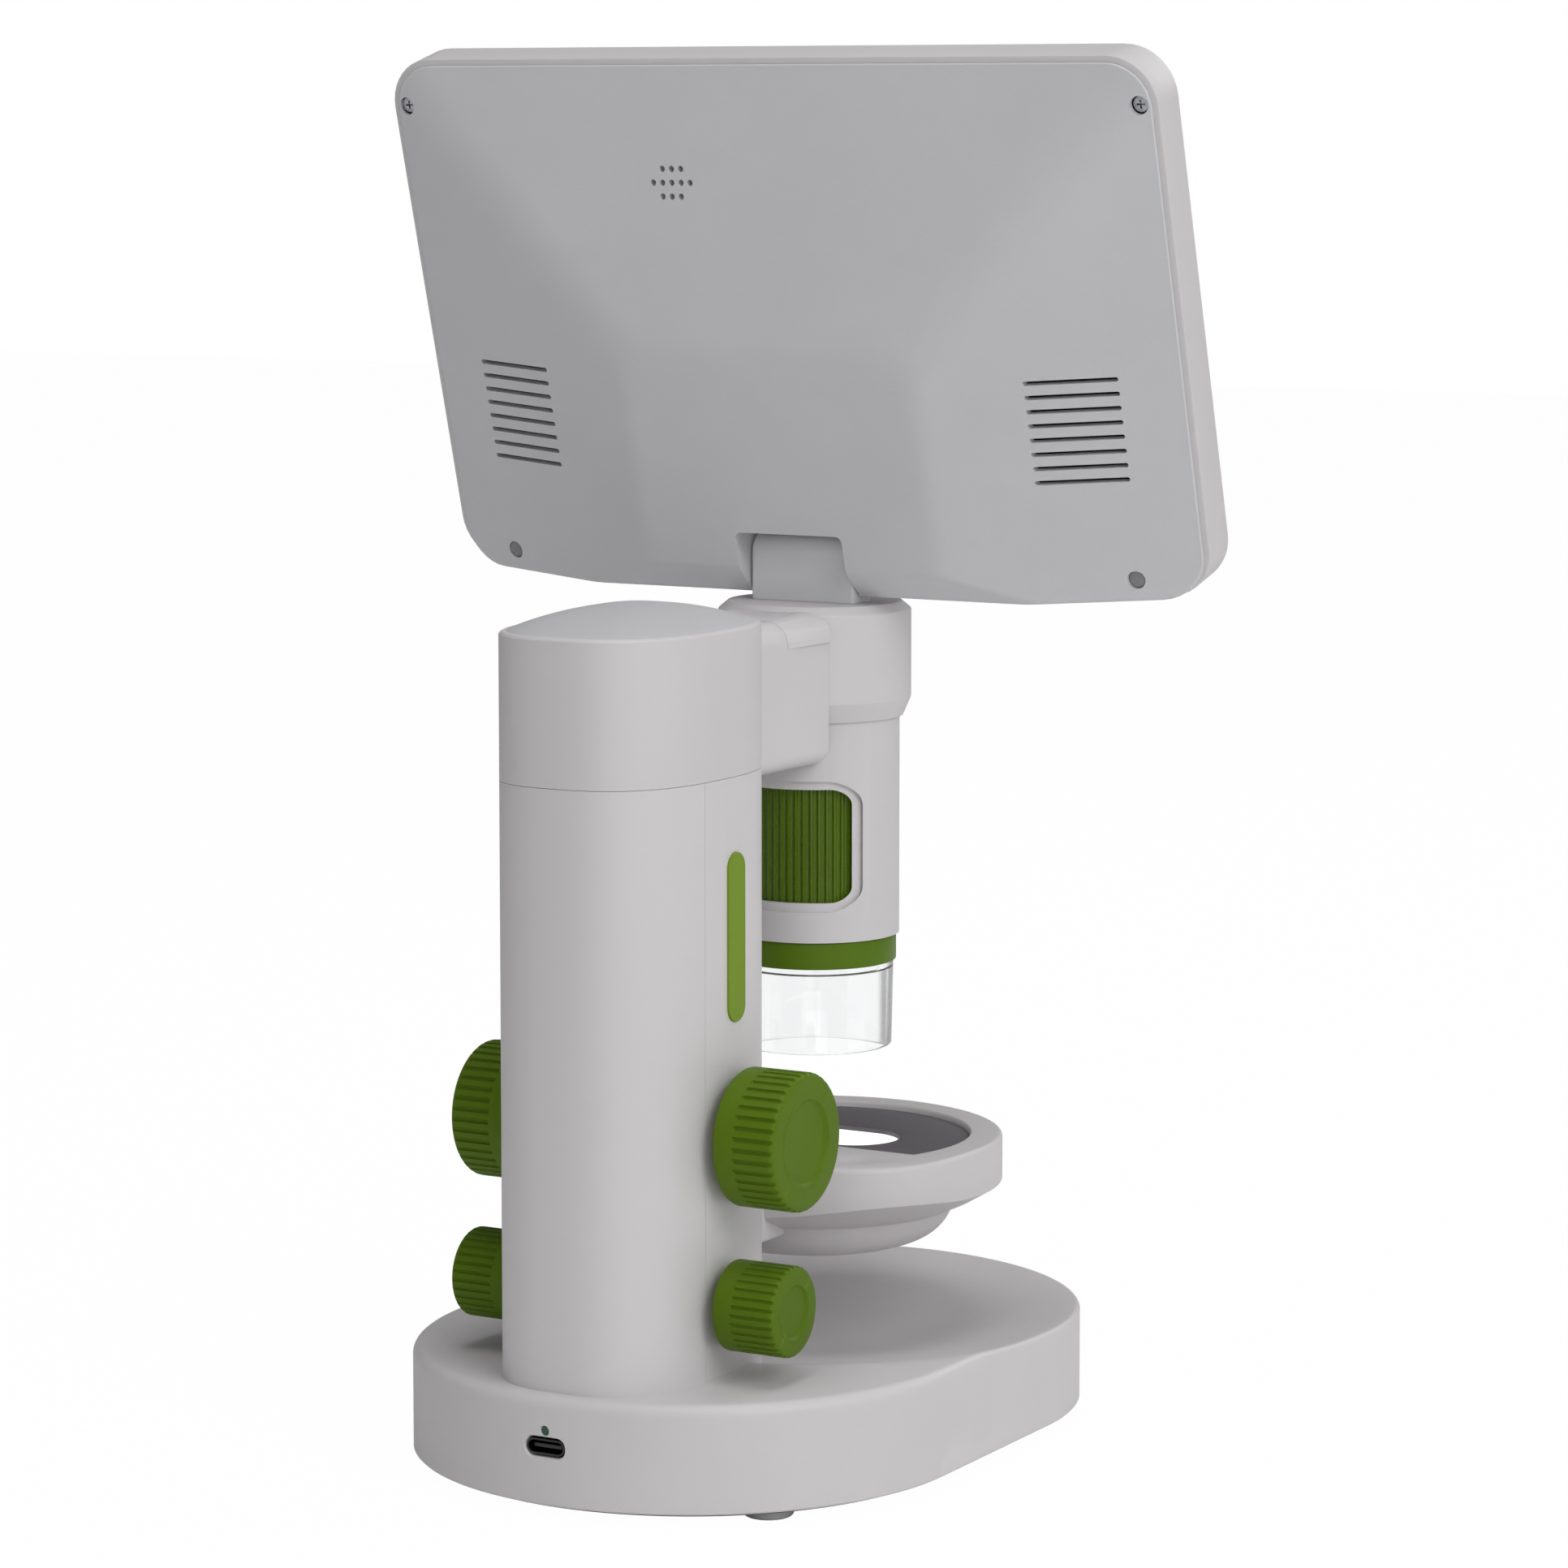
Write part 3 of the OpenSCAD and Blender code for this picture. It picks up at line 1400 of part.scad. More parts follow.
module screen_frame() color(pale) {
  glass_mid = glass_low + glass_l / 2;
  on_screen() {
    difference() {
      translate([0, screen_l / 2, 0]) linear_extrude(screen_d) round_box(screen_w, screen_l, screen_corner);
      translate([0, screen_l / 2, -over])
        linear_extrude(front_z + over)
          round_box(screen_w - 2 * frame_wall, screen_l - 2 * frame_wall, screen_corner - frame_wall);
      translate([0, glass_mid, screen_d - glass_t])
        linear_extrude(glass_t + over) round_box(glass_w + 2 * seat, glass_l + 2 * seat, frame_wall);
      translate([0, glass_mid, front_z - over])
        linear_extrude(front_t + over)
          round_box(glass_w - 2 * view_inset, glass_l - 2 * view_inset, frame_wall / 2);
      for (i = [0:button_count - 1])
        translate([(i - (button_count - 1) / 2) * button_pitch, button_v, front_z - over])
          cylinder(r = button_r + button_gap, h = front_t + 2 * over);
      each_screen_screw()
        translate([0, 0, -over - screen_sink_z])
          cylinder(r = screen_boss_r + button_gap, h = over + screen_boss_low + loose);
    }
    difference() {
      each_screen_screw()
        translate([0, 0, screen_boss_low + loose - screen_sink_z])
          cylinder(r = screen_boss_r, h = front_z + seat - screen_boss_low - loose);
      each_screen_screw() cylinder(r = small_r + hole_gap, h = screen_screw_len + hole_gap);
    }
    each_button_post() {
      translate([0, 0, button_board_z + board_t])
        cylinder(r = button_post_r, h = front_z + seat - button_board_z - board_t);
      translate([0, 0, button_board_z - button_gap]) cylinder(r = button_peg_r, h = front_z - button_board_z);
    }
  }
}

module screen_glass() color([0.05, 0.05, 0.06]) {
  on_screen()
    translate([0, glass_low + glass_l / 2, screen_d - glass_t])
      linear_extrude(glass_t - hole_gap) round_box(glass_w, glass_l, frame_wall);
}

module display_panel() color(black) {
  on_screen() translate([-panel_x / 2, panel_low, panel_z]) cube([panel_x, panel_l, panel_t]);
}

module main_board() color(board) {
  on_screen() {
    difference() {
      translate([-main_x / 2, main_v, -main_w - board_t]) cube([main_x, main_l, board_t]);
      each_main_post()
        translate([0, 0, -main_w - board_t - over]) cylinder(r = button_peg_r + hole_gap, h = board_t + 2 * over);
    }
    for (s = [-1, 1])
      translate([s * chip_a - chip_a / 2, main_v + main_l / 2, -main_w - board_t - chip_t])
        cube([chip_a, chip_a, chip_t + board_t / 2]);
  }
}

module button_board() color(board) {
  on_screen() {
    difference() {
      translate([-button_board_a, button_board_v, button_board_z])
        cube([2 * button_board_a, button_board_l, board_t]);
      each_button_post()
        translate([0, 0, button_board_z - over]) cylinder(r = button_peg_r + hole_gap, h = board_t + 2 * over);
    }
    for (i = [0:button_count - 1])
      translate([(i - (button_count - 1) / 2) * button_pitch - button_switch_a, button_v - button_switch_a,
        button_board_z + board_t / 2])
        cube([2 * button_switch_a, 2 * button_switch_a,
          board_t / 2 + button_flange_z - button_board_z - board_t - button_travel - button_gap]);
  }
}

module screen_speaker() color(black) {
  on_screen() translate([sound_x, sound_v, -speaker_high]) cylinder(r = speaker_r, h = speaker_high + speaker_low);
}

module screen_back() color(shade) {
  on_screen()
    difference() {
      union() {
        difference() {
          back_body(0, 0);
          difference() {
            back_body(back_wall, 2 * back_wall);
            translate([-notch_block_a, -over, -back_d - over])
              cube([2 * notch_block_a, notch_block_v + over, back_d + over + 2 * back_wall]);
            each_screen_screw() translate([0, 0, -back_d]) cylinder(r = screen_boss_r, h = 2 * back_d);
            each_main_post() {
              translate([0, 0, -back_d]) cylinder(r = main_post_r, h = back_d - main_w - board_t);
              translate([0, 0, -back_d]) cylinder(r = button_peg_r, h = back_d - main_w + button_gap);
            }
            translate([sound_x, sound_v, 0])
              tube(speaker_r + hole_gap + speaker_ring, speaker_r + hole_gap, -back_d, over);
          }
        }
        each_screen_screw()
          translate([0, 0, -screen_sink_z]) cylinder(r = screen_boss_r, h = screen_boss_low);
        translate([-notch_block_a, frame_wall + loose, 0])
          cube([2 * notch_block_a, notch_block_v - frame_wall - loose, notch_plate]);
      }
      translate([-notch_a, -over, -back_d - over]) cube([2 * notch_a, notch_v + over, back_d + over - notch_w]);
      translate([-notch_block_a - over, tilt_v, -tilt_w])
        rotate([0, quarter, 0]) cylinder(r = pin_r + slip, h = 2 * (notch_block_a + over));
      each_screen_screw() {
        translate([0, 0, -back_d]) cylinder(r = screen_sink_r, h = back_d);
        cylinder(r = small_r + hole_gap, h = screen_boss_low);
      }
      for (s = [0, 1], i = [0:slot_count - 1])
        mirror([s, 0, 0])
          translate([slot_first_x, slot_first_v + i * slot_pitch - slot_wide / 2, -back_d])
            cube([slot_long, slot_wide, back_d + over]);
      for (row = [0:len(sound_rows) - 1], i = [0:sound_rows[row] - 1])
        translate([sound_x + (i - (sound_rows[row] - 1) / 2) * sound_pitch_x,
          sound_v + (row - (len(sound_rows) - 1) / 2) * sound_pitch_v, -back_d])
          cylinder(r = sound_r, h = back_d, $fn = 24);
    }
}

module screen_screws() color(steel) {
  on_screen() each_screen_screw() screw(small_r, small_head_r, small_head_h, screen_screw_len);
}

module screw_plugs() color(shade) {
  on_screen()
    for (s = [-1, 1])
      translate([s * low_screw_x, low_screw_v, -plug_top]) cylinder(r = plug_r, h = plug_top - seat);
}

module hinge_pin() color(steel) {
  translate([-pin_half, tilt_y, tilt_z]) rotate([0, quarter, 0]) cylinder(r = pin_r, h = 2 * pin_half);
}

// One push button, counted from the left
module button(i) {
  on_screen()
    translate([(i - (button_count - 1) / 2) * button_pitch, button_v, button_flange_z]) {
      cylinder(r = button_flange_r, h = button_flange_t);
      cylinder(r = button_r, h = screen_d + button_proud - button_flange_z);
    }
}

module button_power() color(shade) {
  button(0);
}

module button_menu() color(shade) {
  button(1);
}

module button_shutter() color(shade) {
  button(2);
}

module button_play() color(shade) {
  button(3);
}

base_shell();
base_plate();
base_feet();
base_screws();
ballast_plate();
battery();
power_board();
usb_socket();
column_front();
column_rear_cover();
column_screws();
column_head();
column_cap();
side_strips();
guide_rods();
shaft_bushes();
dimmer_board();
main_lead();
arm_cover();
head_cap();
head_barrel();
lens_ring();
clear_shroud();
sensor_mount();
sensor_board();
ring_light();
hinge_stem();
head_screws();
stage_body();
stage_plate();
light_diffuser();
stage_lamp_board();
stage_housing();
stage_screws();
stage_carriage();
carriage_bushes();
lift_rack();
focus_shaft();
pinion();
focus_knob_left();
focus_knob_right();
dimmer_knob_left();
dimmer_knob_right();
focus_wheel();
lens_carrier();
objective_lens();
screen_frame();
screen_glass();
display_panel();
main_board();
button_board();
screen_speaker();
screen_back();
screen_screws();
screw_plugs();
hinge_pin();
button_power();
button_menu();
button_shutter();
button_play();
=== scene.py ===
import bpy
import bmesh
from math import asin, copysign, cos, hypot, pi, radians, sin, sqrt, tan
from mathutils import Matrix, Vector


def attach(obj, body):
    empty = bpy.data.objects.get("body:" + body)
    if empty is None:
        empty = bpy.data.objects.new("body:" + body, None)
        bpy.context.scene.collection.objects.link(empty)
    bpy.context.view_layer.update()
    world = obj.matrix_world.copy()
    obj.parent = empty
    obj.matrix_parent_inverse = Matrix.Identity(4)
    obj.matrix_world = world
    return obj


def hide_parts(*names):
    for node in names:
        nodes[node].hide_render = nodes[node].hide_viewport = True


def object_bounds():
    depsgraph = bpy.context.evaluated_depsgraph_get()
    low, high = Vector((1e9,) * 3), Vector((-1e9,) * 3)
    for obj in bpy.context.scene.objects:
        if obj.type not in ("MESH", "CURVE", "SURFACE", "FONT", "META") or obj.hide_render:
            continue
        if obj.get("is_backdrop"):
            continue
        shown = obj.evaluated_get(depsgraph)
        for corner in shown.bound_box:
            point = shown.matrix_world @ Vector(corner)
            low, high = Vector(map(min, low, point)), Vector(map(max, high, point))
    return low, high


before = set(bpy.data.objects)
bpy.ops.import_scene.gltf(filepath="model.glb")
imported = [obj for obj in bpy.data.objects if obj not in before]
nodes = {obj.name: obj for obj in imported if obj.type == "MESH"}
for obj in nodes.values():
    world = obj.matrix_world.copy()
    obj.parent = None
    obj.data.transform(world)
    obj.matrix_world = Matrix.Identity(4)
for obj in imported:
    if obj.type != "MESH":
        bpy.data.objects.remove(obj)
scene = bpy.context.scene
low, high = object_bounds()
print("frame loaded", len(nodes))

mm = 0.001
headY = -27.24
columnY = 49.8
columnHalf = (22.2, 30.9)
ovalPower = 2.7


# Colours are given as they look in print, from 0 to 255
def tone(r, g, b):
    def lin(c):
        c /= 255
        return c / 12.92 if c <= 0.04045 else ((c + 0.055) / 1.055) ** 2.4
    return (lin(r), lin(g), lin(b), 1.0)


# Each input takes a value, or the output socket that feeds it
def feed(tree, node, inputs):
    for label, value in inputs.items():
        if isinstance(value, bpy.types.NodeSocket):
            tree.links.new(value, node.inputs[label])
        else:
            node.inputs[label].default_value = value


def addNode(tree, kind, inputs=None, **settings):
    node = tree.nodes.new(kind)
    for key, value in settings.items():
        setattr(node, key, value)
    feed(tree, node, inputs or {})
    return node


# Adds a node and gives its first output, the one that most nodes are here for
def firstOf(tree, kind, inputs=None, **settings):
    return addNode(tree, kind, inputs, **settings).outputs[0]


def newGroup(name, inputs, outputs, kind="ShaderNodeTree"):
    tree = bpy.data.node_groups.new(name, kind)
    for label, socketKind, value in inputs:
        sock = tree.interface.new_socket(name=label, in_out="INPUT", socket_type=socketKind)
        if value is not None:
            sock.default_value = value
    for label, socketKind in outputs:
        tree.interface.new_socket(name=label, in_out="OUTPUT", socket_type=socketKind)
    return tree, tree.nodes.new("NodeGroupInput"), tree.nodes.new("NodeGroupOutput")


def newMaterial(name):
    mat = bpy.data.materials.new(name)
    mat.use_nodes = True
    return mat, mat.node_tree, mat.node_tree.nodes["Principled BSDF"]


def mixColour(tree, factor, a, b):
    mix = addNode(tree, "ShaderNodeMix", data_type="RGBA")
    inputs = {sock.identifier: i for i, sock in enumerate(mix.inputs)}
    feed(tree, mix, {inputs["Factor_Float"]: factor, inputs["A_Color"]: a, inputs["B_Color"]: b})
    return next(sock for sock in mix.outputs if sock.identifier == "Result_Color")


def maths(tree, operation, *inputs):
    return firstOf(tree, "ShaderNodeMath", dict(enumerate(inputs)), operation=operation)


# Noise in the piece's own frame
def noise(tree, **inputs):
    coord = addNode(tree, "ShaderNodeTexCoord")
    return firstOf(tree, "ShaderNodeTexNoise", {"Vector": coord.outputs["Object"], **inputs})


def ranged(tree, value, start, end, least=0.0, most=1.0, **settings):
    return firstOf(tree, "ShaderNodeMapRange", {
        "Value": value, "From Min": start, "From Max": end, "To Min": least, "To Max": most}, **settings)


def straightRays(tree):
    path = addNode(tree, "ShaderNodeLightPath")
    return maths(tree, "MAXIMUM", path.outputs["Is Camera Ray"], path.outputs["Is Transmission Ray"])


# Fine moulded grain as a bumped normal, with a slow unevenness of the surface under it
def grainGroup():
    tree, src, out = newGroup("mouldedGrain", [
        ("Scale", "NodeSocketFloat", 2500.0), ("Strength", "NodeSocketFloat", 0.15),
        ("Wave", "NodeSocketFloat", 0.02)], [("Normal", "NodeSocketVector"), ("Mask", "NodeSocketFloat")])
    fine = noise(tree, Scale=src.outputs["Scale"], Detail=3.0, Roughness=0.6)
    slow = noise(tree, Scale=22.0, Detail=2.0)
    wave = firstOf(tree, "ShaderNodeBump", {"Distance": 0.002, "Strength": src.outputs["Wave"], "Height": slow})
    bump = firstOf(tree, "ShaderNodeBump", {
        "Distance": 0.0001, "Strength": src.outputs["Strength"], "Height": fine, "Normal": wave})
    feed(tree, out, {"Normal": bump, "Mask": fine})
    return tree


# Two close tones mixed by a slow cloud and lifted a little along sharp edges, for wear and as painted highlight on
# ridges
def toneGroup():
    colours = [(label, "NodeSocketColor", (0.5, 0.5, 0.5, 1)) for label in ("Base", "Second", "Edge")]
    tree, src, out = newGroup("wornAndLitTone", colours + [("WearAndSheen", "NodeSocketFloat", 0.3)],
                              [("Color", "NodeSocketColor")])
    spread = ranged(tree, noise(tree, Scale=14.0, Detail=5.0, Roughness=0.65), 0.35, 0.65)
    mixed = mixColour(tree, spread, src.outputs["Base"], src.outputs["Second"])
    edge = ranged(tree, addNode(tree, "ShaderNodeNewGeometry").outputs["Pointiness"], 0.53, 0.62)
    wornAndLit = maths(tree, "MULTIPLY", maths(tree, "MULTIPLY", edge, spread), src.outputs["WearAndSheen"])
    feed(tree, out, {"Color": mixColour(tree, wornAndLit, mixed, src.outputs["Edge"])})
    return tree


grain = grainGroup()
wornAndLitTone = toneGroup()


# A moulded surface: base and second tone, edges lifted for wear and as painted highlight, grain, roughness that
# follows the grain
def mouldedMaterial(name, look):
    mat, tree, shader = newMaterial(name)
    base, second, edge = (tone(*shown) for shown in look["tones"])
    tones = addNode(tree, "ShaderNodeGroup", {"Base": base, "Second": second, "Edge": edge,
                                              "WearAndSheen": look.get("wearAndSheen", 0.3)}, node_tree=wornAndLitTone)
    bumps = addNode(tree, "ShaderNodeGroup", {
        "Scale": look.get("grain", 2500.0), "Strength": look.get("bump", 0.15), "Wave": look.get("wave", 0.02)},
        node_tree=grain)
    feed(tree, shader, {
        "Base Color": tones.outputs["Color"], "Normal": bumps.outputs["Normal"],
        "Roughness": ranged(tree, bumps.outputs["Mask"], 0.3, 0.7, *look["rough"]),
        "Metallic": look.get("metal", 0.0), "IOR": look.get("ior", 1.46),
        "Specular IOR Level": look.get("shine", 0.5)})
    return mat


# Tones: base, second and edge (lifted for wear and as painted highlight), as they look in print. What is left out
# takes its usual value
looks = {
    "paleCase": {"tones": ((214, 211, 212), (210, 207, 209), (226, 224, 224)),
                 "rough": (0.4, 0.52), "bump": 0.12, "grain": 2600.0, "wave": 0.03, "ior": 1.47},
    "screenCase": {"tones": ((212, 212, 214), (208, 208, 211), (208, 208, 211)),
                   "wearAndSheen": 0.0, "rough": (0.5, 0.62), "bump": 0.35, "grain": 2200.0, "wave": 0.0},
    # The pale case made lighter: painted light against the shade round the hinge stem
    "paleCaseLit": {"tones": ((230, 230, 232), (226, 226, 229), (236, 236, 237)), "rough": (0.5, 0.6), "bump": 0.25},
    # The pale case made darker: painted shade on the column's dome
    "paleCaseShaded": {"tones": ((199, 199, 201), (195, 195, 197), (206, 206, 207)),
                 "rough": (0.45, 0.55), "bump": 0.15, "grain": 2400.0},
    "leafGreen": {"tones": ((90, 118, 16), (84, 111, 13), (120, 148, 40)),
                  "rough": (0.42, 0.55), "bump": 0.2, "grain": 1800.0, "wearAndSheen": 0.5, "shine": 0.17},
    # The wheel's lighter edge tone is painted highlight on its ridges
    "wheelGreen": {"tones": ((86, 114, 12), (80, 106, 10), (120, 150, 40)),
                   "rough": (0.25, 0.35), "bump": 0.1, "shine": 0.4},
    "stripGreen": {"tones": ((123, 151, 40), (116, 144, 35), (138, 166, 58)),
                   "rough": (0.35, 0.45), "bump": 0.1, "shine": 0.17},
    "ringGreen": {"tones": ((90, 120, 20), (84, 113, 16), (110, 140, 40)),
                  "rough": (0.32, 0.42), "bump": 0.12, "shine": 0.2},
    "darkDeck": {"tones": ((104, 100, 104), (98, 94, 98), (130, 128, 131)), "rough": (0.45, 0.58), "bump": 0.3},
    "blackPlastic": {"tones": ((34, 34, 36), (28, 28, 30), (60, 60, 62)), "rough": (0.45, 0.6), "bump": 0.3},
    # Grey rubber made lighter: painted light against the shade under the foot
    "footRubberLit": {"tones": ((186, 185, 185), (178, 177, 177), (196, 195, 195)),
                   "rough": (0.7, 0.85), "bump": 0.6, "grain": 1500.0, "ior": 1.4},
    "plugRubber": {"tones": ((148, 148, 150), (141, 141, 144), (165, 165, 166)),
                   "rough": (0.65, 0.8), "bump": 0.4, "ior": 1.4},
    "steelPart": {"tones": ((196, 197, 200), (178, 179, 183), (225, 225, 228)),
                  "rough": (0.22, 0.38), "bump": 0.2, "metal": 1.0, "grain": 3500.0, "wearAndSheen": 0.6},
    "darkSteel": {"tones": ((70, 70, 72), (60, 60, 62), (110, 110, 112)),
                  "rough": (0.3, 0.45), "bump": 0.2, "metal": 1.0, "grain": 3500.0},
    "brassPart": {"tones": ((196, 164, 92), (180, 148, 78), (222, 196, 128)),
                  "rough": (0.25, 0.4), "bump": 0.2, "metal": 1.0, "wearAndSheen": 0.6},
    "milkWindow": {"tones": ((246, 246, 246), (242, 242, 243), (242, 242, 243)), "rough": (0.3, 0.4), "bump": 0.05},
}
mats = {name: mouldedMaterial(name, look) for name, look in looks.items()}
print("moulded materials", len(mats))


# Clear parts: a faint smear in tone and roughness, and painted shade: a dark grey that grows where the wall is seen
# edge on
def clearMaterial(name, look):
    mat, tree, shader = newMaterial(name)
    smear = noise(tree, Scale=60.0, Detail=4.0)
    facing = addNode(tree, "ShaderNodeLayerWeight", {"Blend": 0.5})
    # Painted shade that darkens the wall where it is seen edge on
    edge = ranged(tree, facing.outputs["Facing"], 0.5, 0.72, 0.0, look.get("rim", 0.0),
                  interpolation_type="SMOOTHSTEP")
    body = mixColour(tree, smear, look["base"], look["second"])
    feed(tree, shader, {
        "Base Color": mixColour(tree, edge, body, (0.03, 0.03, 0.032, 1)),
        "Roughness": ranged(tree, smear, 0.45, 0.75, *look["rough"]),
        "Transmission Weight": look["clear"], "IOR": look["ior"]})
    return mat


# Green board: copper tracks under the mask and bright pads
def circuitMaterial(name):
    mat, tree, shader = newMaterial(name)
    coord = addNode(tree, "ShaderNodeTexCoord").outputs["Object"]
    tracks = addNode(tree, "ShaderNodeTexBrick", {
        "Vector": coord, "Scale": 240.0, "Mortar Size": 0.035, "Color1": tone(22, 92, 52),
        "Color2": tone(18, 80, 46), "Mortar": tone(52, 128, 74)}, offset=0.5, squash=1.0)
    dot = ranged(tree, firstOf(tree, "ShaderNodeTexVoronoi", {"Vector": coord, "Scale": 330.0}), 0.2, 0.16)
    bump = firstOf(tree, "ShaderNodeBump", {"Strength": 0.4, "Distance": 0.0001, "Height": tracks.outputs["Fac"]})
    feed(tree, shader, {
        "Base Color": mixColour(tree, dot, tracks.outputs["Color"], tone(206, 198, 160)), "Metallic": dot,
        "Normal": bump, "Roughness": 0.36, "Coat Weight": 0.3})
    return mat


clearLooks = {
    # The skirt's rim value is the strength of painted shade along its edge-on walls
    "clearSkirt": {"base": (0.975, 0.978, 0.98, 1), "second": (0.95, 0.957, 0.96, 1), "clear": 1.0, "ior": 1.42,
                   "rough": (0.0, 0.05), "rim": 0.9},
    "lensGlass": {"base": (0.95, 0.98, 0.99, 1), "second": (0.9, 0.94, 0.97, 1), "clear": 1.0, "ior": 1.52,
                  "rough": (0.0, 0.02)},
    "coverGlass": {"base": (0.012, 0.013, 0.016, 1), "second": (0.016, 0.017, 0.02, 1), "clear": 0.0, "ior": 1.5,
                   "rough": (0.04, 0.12)},
}
for name, look in clearLooks.items():
    mats[name] = clearMaterial(name, look)
mats["circuitBoard"] = circuitMaterial("circuitBoard")
lit = mats["milkWindow"].node_tree
feed(lit, lit.nodes["Principled BSDF"], {"Emission Color": (1, 1, 1, 1), "Emission Strength": 0.9})

# Which look each CAD node takes where it stays in view
cadLooks = {
    "paleCase": "base_shell column_front column_rear_cover column_head column_cap arm_cover head_cap head_barrel "
                "stage_body stage_housing screen_frame",
    "screenCase": "screen_back button_power button_menu button_shutter button_play",
    # The hinge stem and carriage take the lightened pale case, painted light
    "paleCaseLit": "hinge_stem stage_carriage",
    "plugRubber": "screw_plugs",
    "leafGreen": "focus_knob_left focus_knob_right dimmer_knob_left dimmer_knob_right focus_wheel",
    "stripGreen": "side_strips",
    "ringGreen": "lens_ring",
    "darkDeck": "base_plate stage_plate",
    "blackPlastic": "sensor_mount lens_carrier display_panel screen_speaker main_lead battery",
    # The feet take the lightened rubber, painted light
    "footRubberLit": "base_feet",
    "steelPart": "base_screws column_screws head_screws stage_screws screen_screws guide_rods focus_shaft "
                 "hinge_pin ballast_plate",
    "darkSteel": "usb_socket",
    "brassPart": "shaft_bushes carriage_bushes pinion lift_rack",
    "circuitBoard": "power_board dimmer_board sensor_board ring_light stage_lamp_board main_board button_board",
    "clearSkirt": "clear_shroud",
    "lensGlass": "objective_lens",
    "coverGlass": "screen_glass",
    "milkWindow": "light_diffuser",
}
for look, names in cadLooks.items():
    for name in names.split():
        data = nodes[name].data
        data.materials.clear()
        data.materials.append(mats[look])
print("CAD nodes painted")


def addObject(name, data):
    obj = bpy.data.objects.new(name, data)
    scene.collection.objects.link(obj)
    return obj


# Camera, where the photograph was taken from
shot = {"at": (-0.55747, 0.95827, 0.28594), "turn": 0.52077, "pitch": -0.105, "lens": 118.99, "shift": -0.08}
level = cos(shot["pitch"])
forward = Vector((sin(shot["turn"]) * level, -cos(shot["turn"]) * level, sin(shot["pitch"])))
across = forward.cross(Vector((0, 0, 1))).normalized()
upward = across.cross(forward)
cameraData = bpy.data.cameras.new("camera")
cameraData.lens = shot["lens"]
cameraData.sensor_width = 36.0
cameraData.shift_y = shot["shift"]
cameraData.clip_start = 0.05
cameraData.clip_end = 50.0
scene.camera = addObject("camera", cameraData)
scene.camera.matrix_world = (Matrix.Translation(shot["at"])
                             @ Matrix((across, upward, -forward)).transposed().to_4x4())

# Room: a pale floor, a plain white surround and large soft lamps. Floor and surround show their own light
# straight on or through the clear skirt, and a lower one to everything else
room = {"seen": (0.996, 0.996, 0.996, 1), "fill": (0.17, 0.17, 0.172, 1), "floorSide": 4, "floorShare": 0.985}
scene.view_settings.view_transform = "Standard"
scene.world = bpy.data.worlds.new("studio")
scene.world.use_nodes = True
tree = scene.world.node_tree
feed(tree, tree.nodes["Background"], {"Color": mixColour(tree, straightRays(tree), room["fill"], room["seen"])})


def floorMaterial():
    mat, tree, shader = newMaterial("paleFloor")
    cloud = noise(tree, Scale=3.0)
    feed(tree, shader, {"Roughness": 0.9, "Specular IOR Level": 0.0,
                        "Base Color": mixColour(tree, cloud, (0.93, 0.93, 0.93, 1), (0.9, 0.9, 0.9, 1))})
    share = maths(tree, "MULTIPLY", straightRays(tree), room["floorShare"])
    glow = firstOf(tree, "ShaderNodeEmission")
    both = firstOf(tree, "ShaderNodeMixShader", {"Fac": share, 1: shader.outputs["BSDF"], 2: glow})
    feed(tree, tree.nodes["Material Output"], {"Surface": both})
    return mat


side = room["floorSide"]
floorMesh = bpy.data.meshes.new("floor")
floorMesh.from_pydata([(-side, -side, 0), (side, -side, 0), (side, side, 0), (-side, side, 0)], [], [(0, 1, 2, 3)])
floorMesh.materials.append(floorMaterial())
addObject("floor", floorMesh)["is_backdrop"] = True

# Name, place, aim, width and height, watts
lamps = [
    ("keyLamp", (-1.5, 0.7, 1.2), (0, 0, 0.12), (1.0, 1.0), 12.6),
    ("topLamp", (-0.1, 0.2, 1.8), (0, 0, 0.2), (1.0, 1.0), 11.2),
    ("frontLamp", (-0.5, -1.6, 1.0), (0, 0, 0.15), (1.2, 0.8), 6.0),
    ("rearLamp", (-0.9, 1.5, 0.35), (0, 0, 0.2), (1.2, 0.5), 2.8),
    ("rightLamp", (-1.8, -0.3, 0.45), (0, 0, 0.2), (1.0, 0.7), 2.0),
    ("sideLamp", (1.6, 1.0, 0.7), (0, 0, 0.15), (0.8, 1.2), 0.6),
]
for name, spot, aim, size, watts in lamps:
    data = bpy.data.lights.new(name, "AREA")
    data.shape = "RECTANGLE"
    data.size, data.size_y = size
    data.energy = watts
    lamp = addObject(name, data)
    lamp.location = spot
    lamp.rotation_euler = (Vector(aim) - Vector(spot)).to_track_quat("-Z", "Y").to_euler()
print("camera and room ready")


# Outline with each corner (x, y, radius) turned into an arc
def rounded(points, steps=4):
    out = []
    for i, (x, y, r) in enumerate(points):
        p = Vector((x, y))
        if r == 0:
            out.append((x, y))
            continue
        a = Vector(points[i - 1][:2]) - p
        b = Vector(points[(i + 1) % len(points)][:2]) - p
        reach = min(a.length, b.length) * 0.49
        a.normalize()
        b.normalize()
        half = a.angle(b) / 2
        d = min(r / tan(half), reach)
        centre = p + (a + b).normalized() * (d * tan(half) / sin(half))
        start, end = p + a * d - centre, p + b * d - centre
        total = start.angle(end)
        if start.x * end.y - start.y * end.x < 0:
            total = -total
        for k in range(steps + 1):
            c, s = cos(total * k / steps), sin(total * k / steps)
            out.append((centre.x + start.x * c - start.y * s, centre.y + start.x * s + start.y * c))
    return out


def circleRing(r, z, count=24):
    return [(r * cos(2 * pi * k / count), r * sin(2 * pi * k / count), z) for k in range(count)]


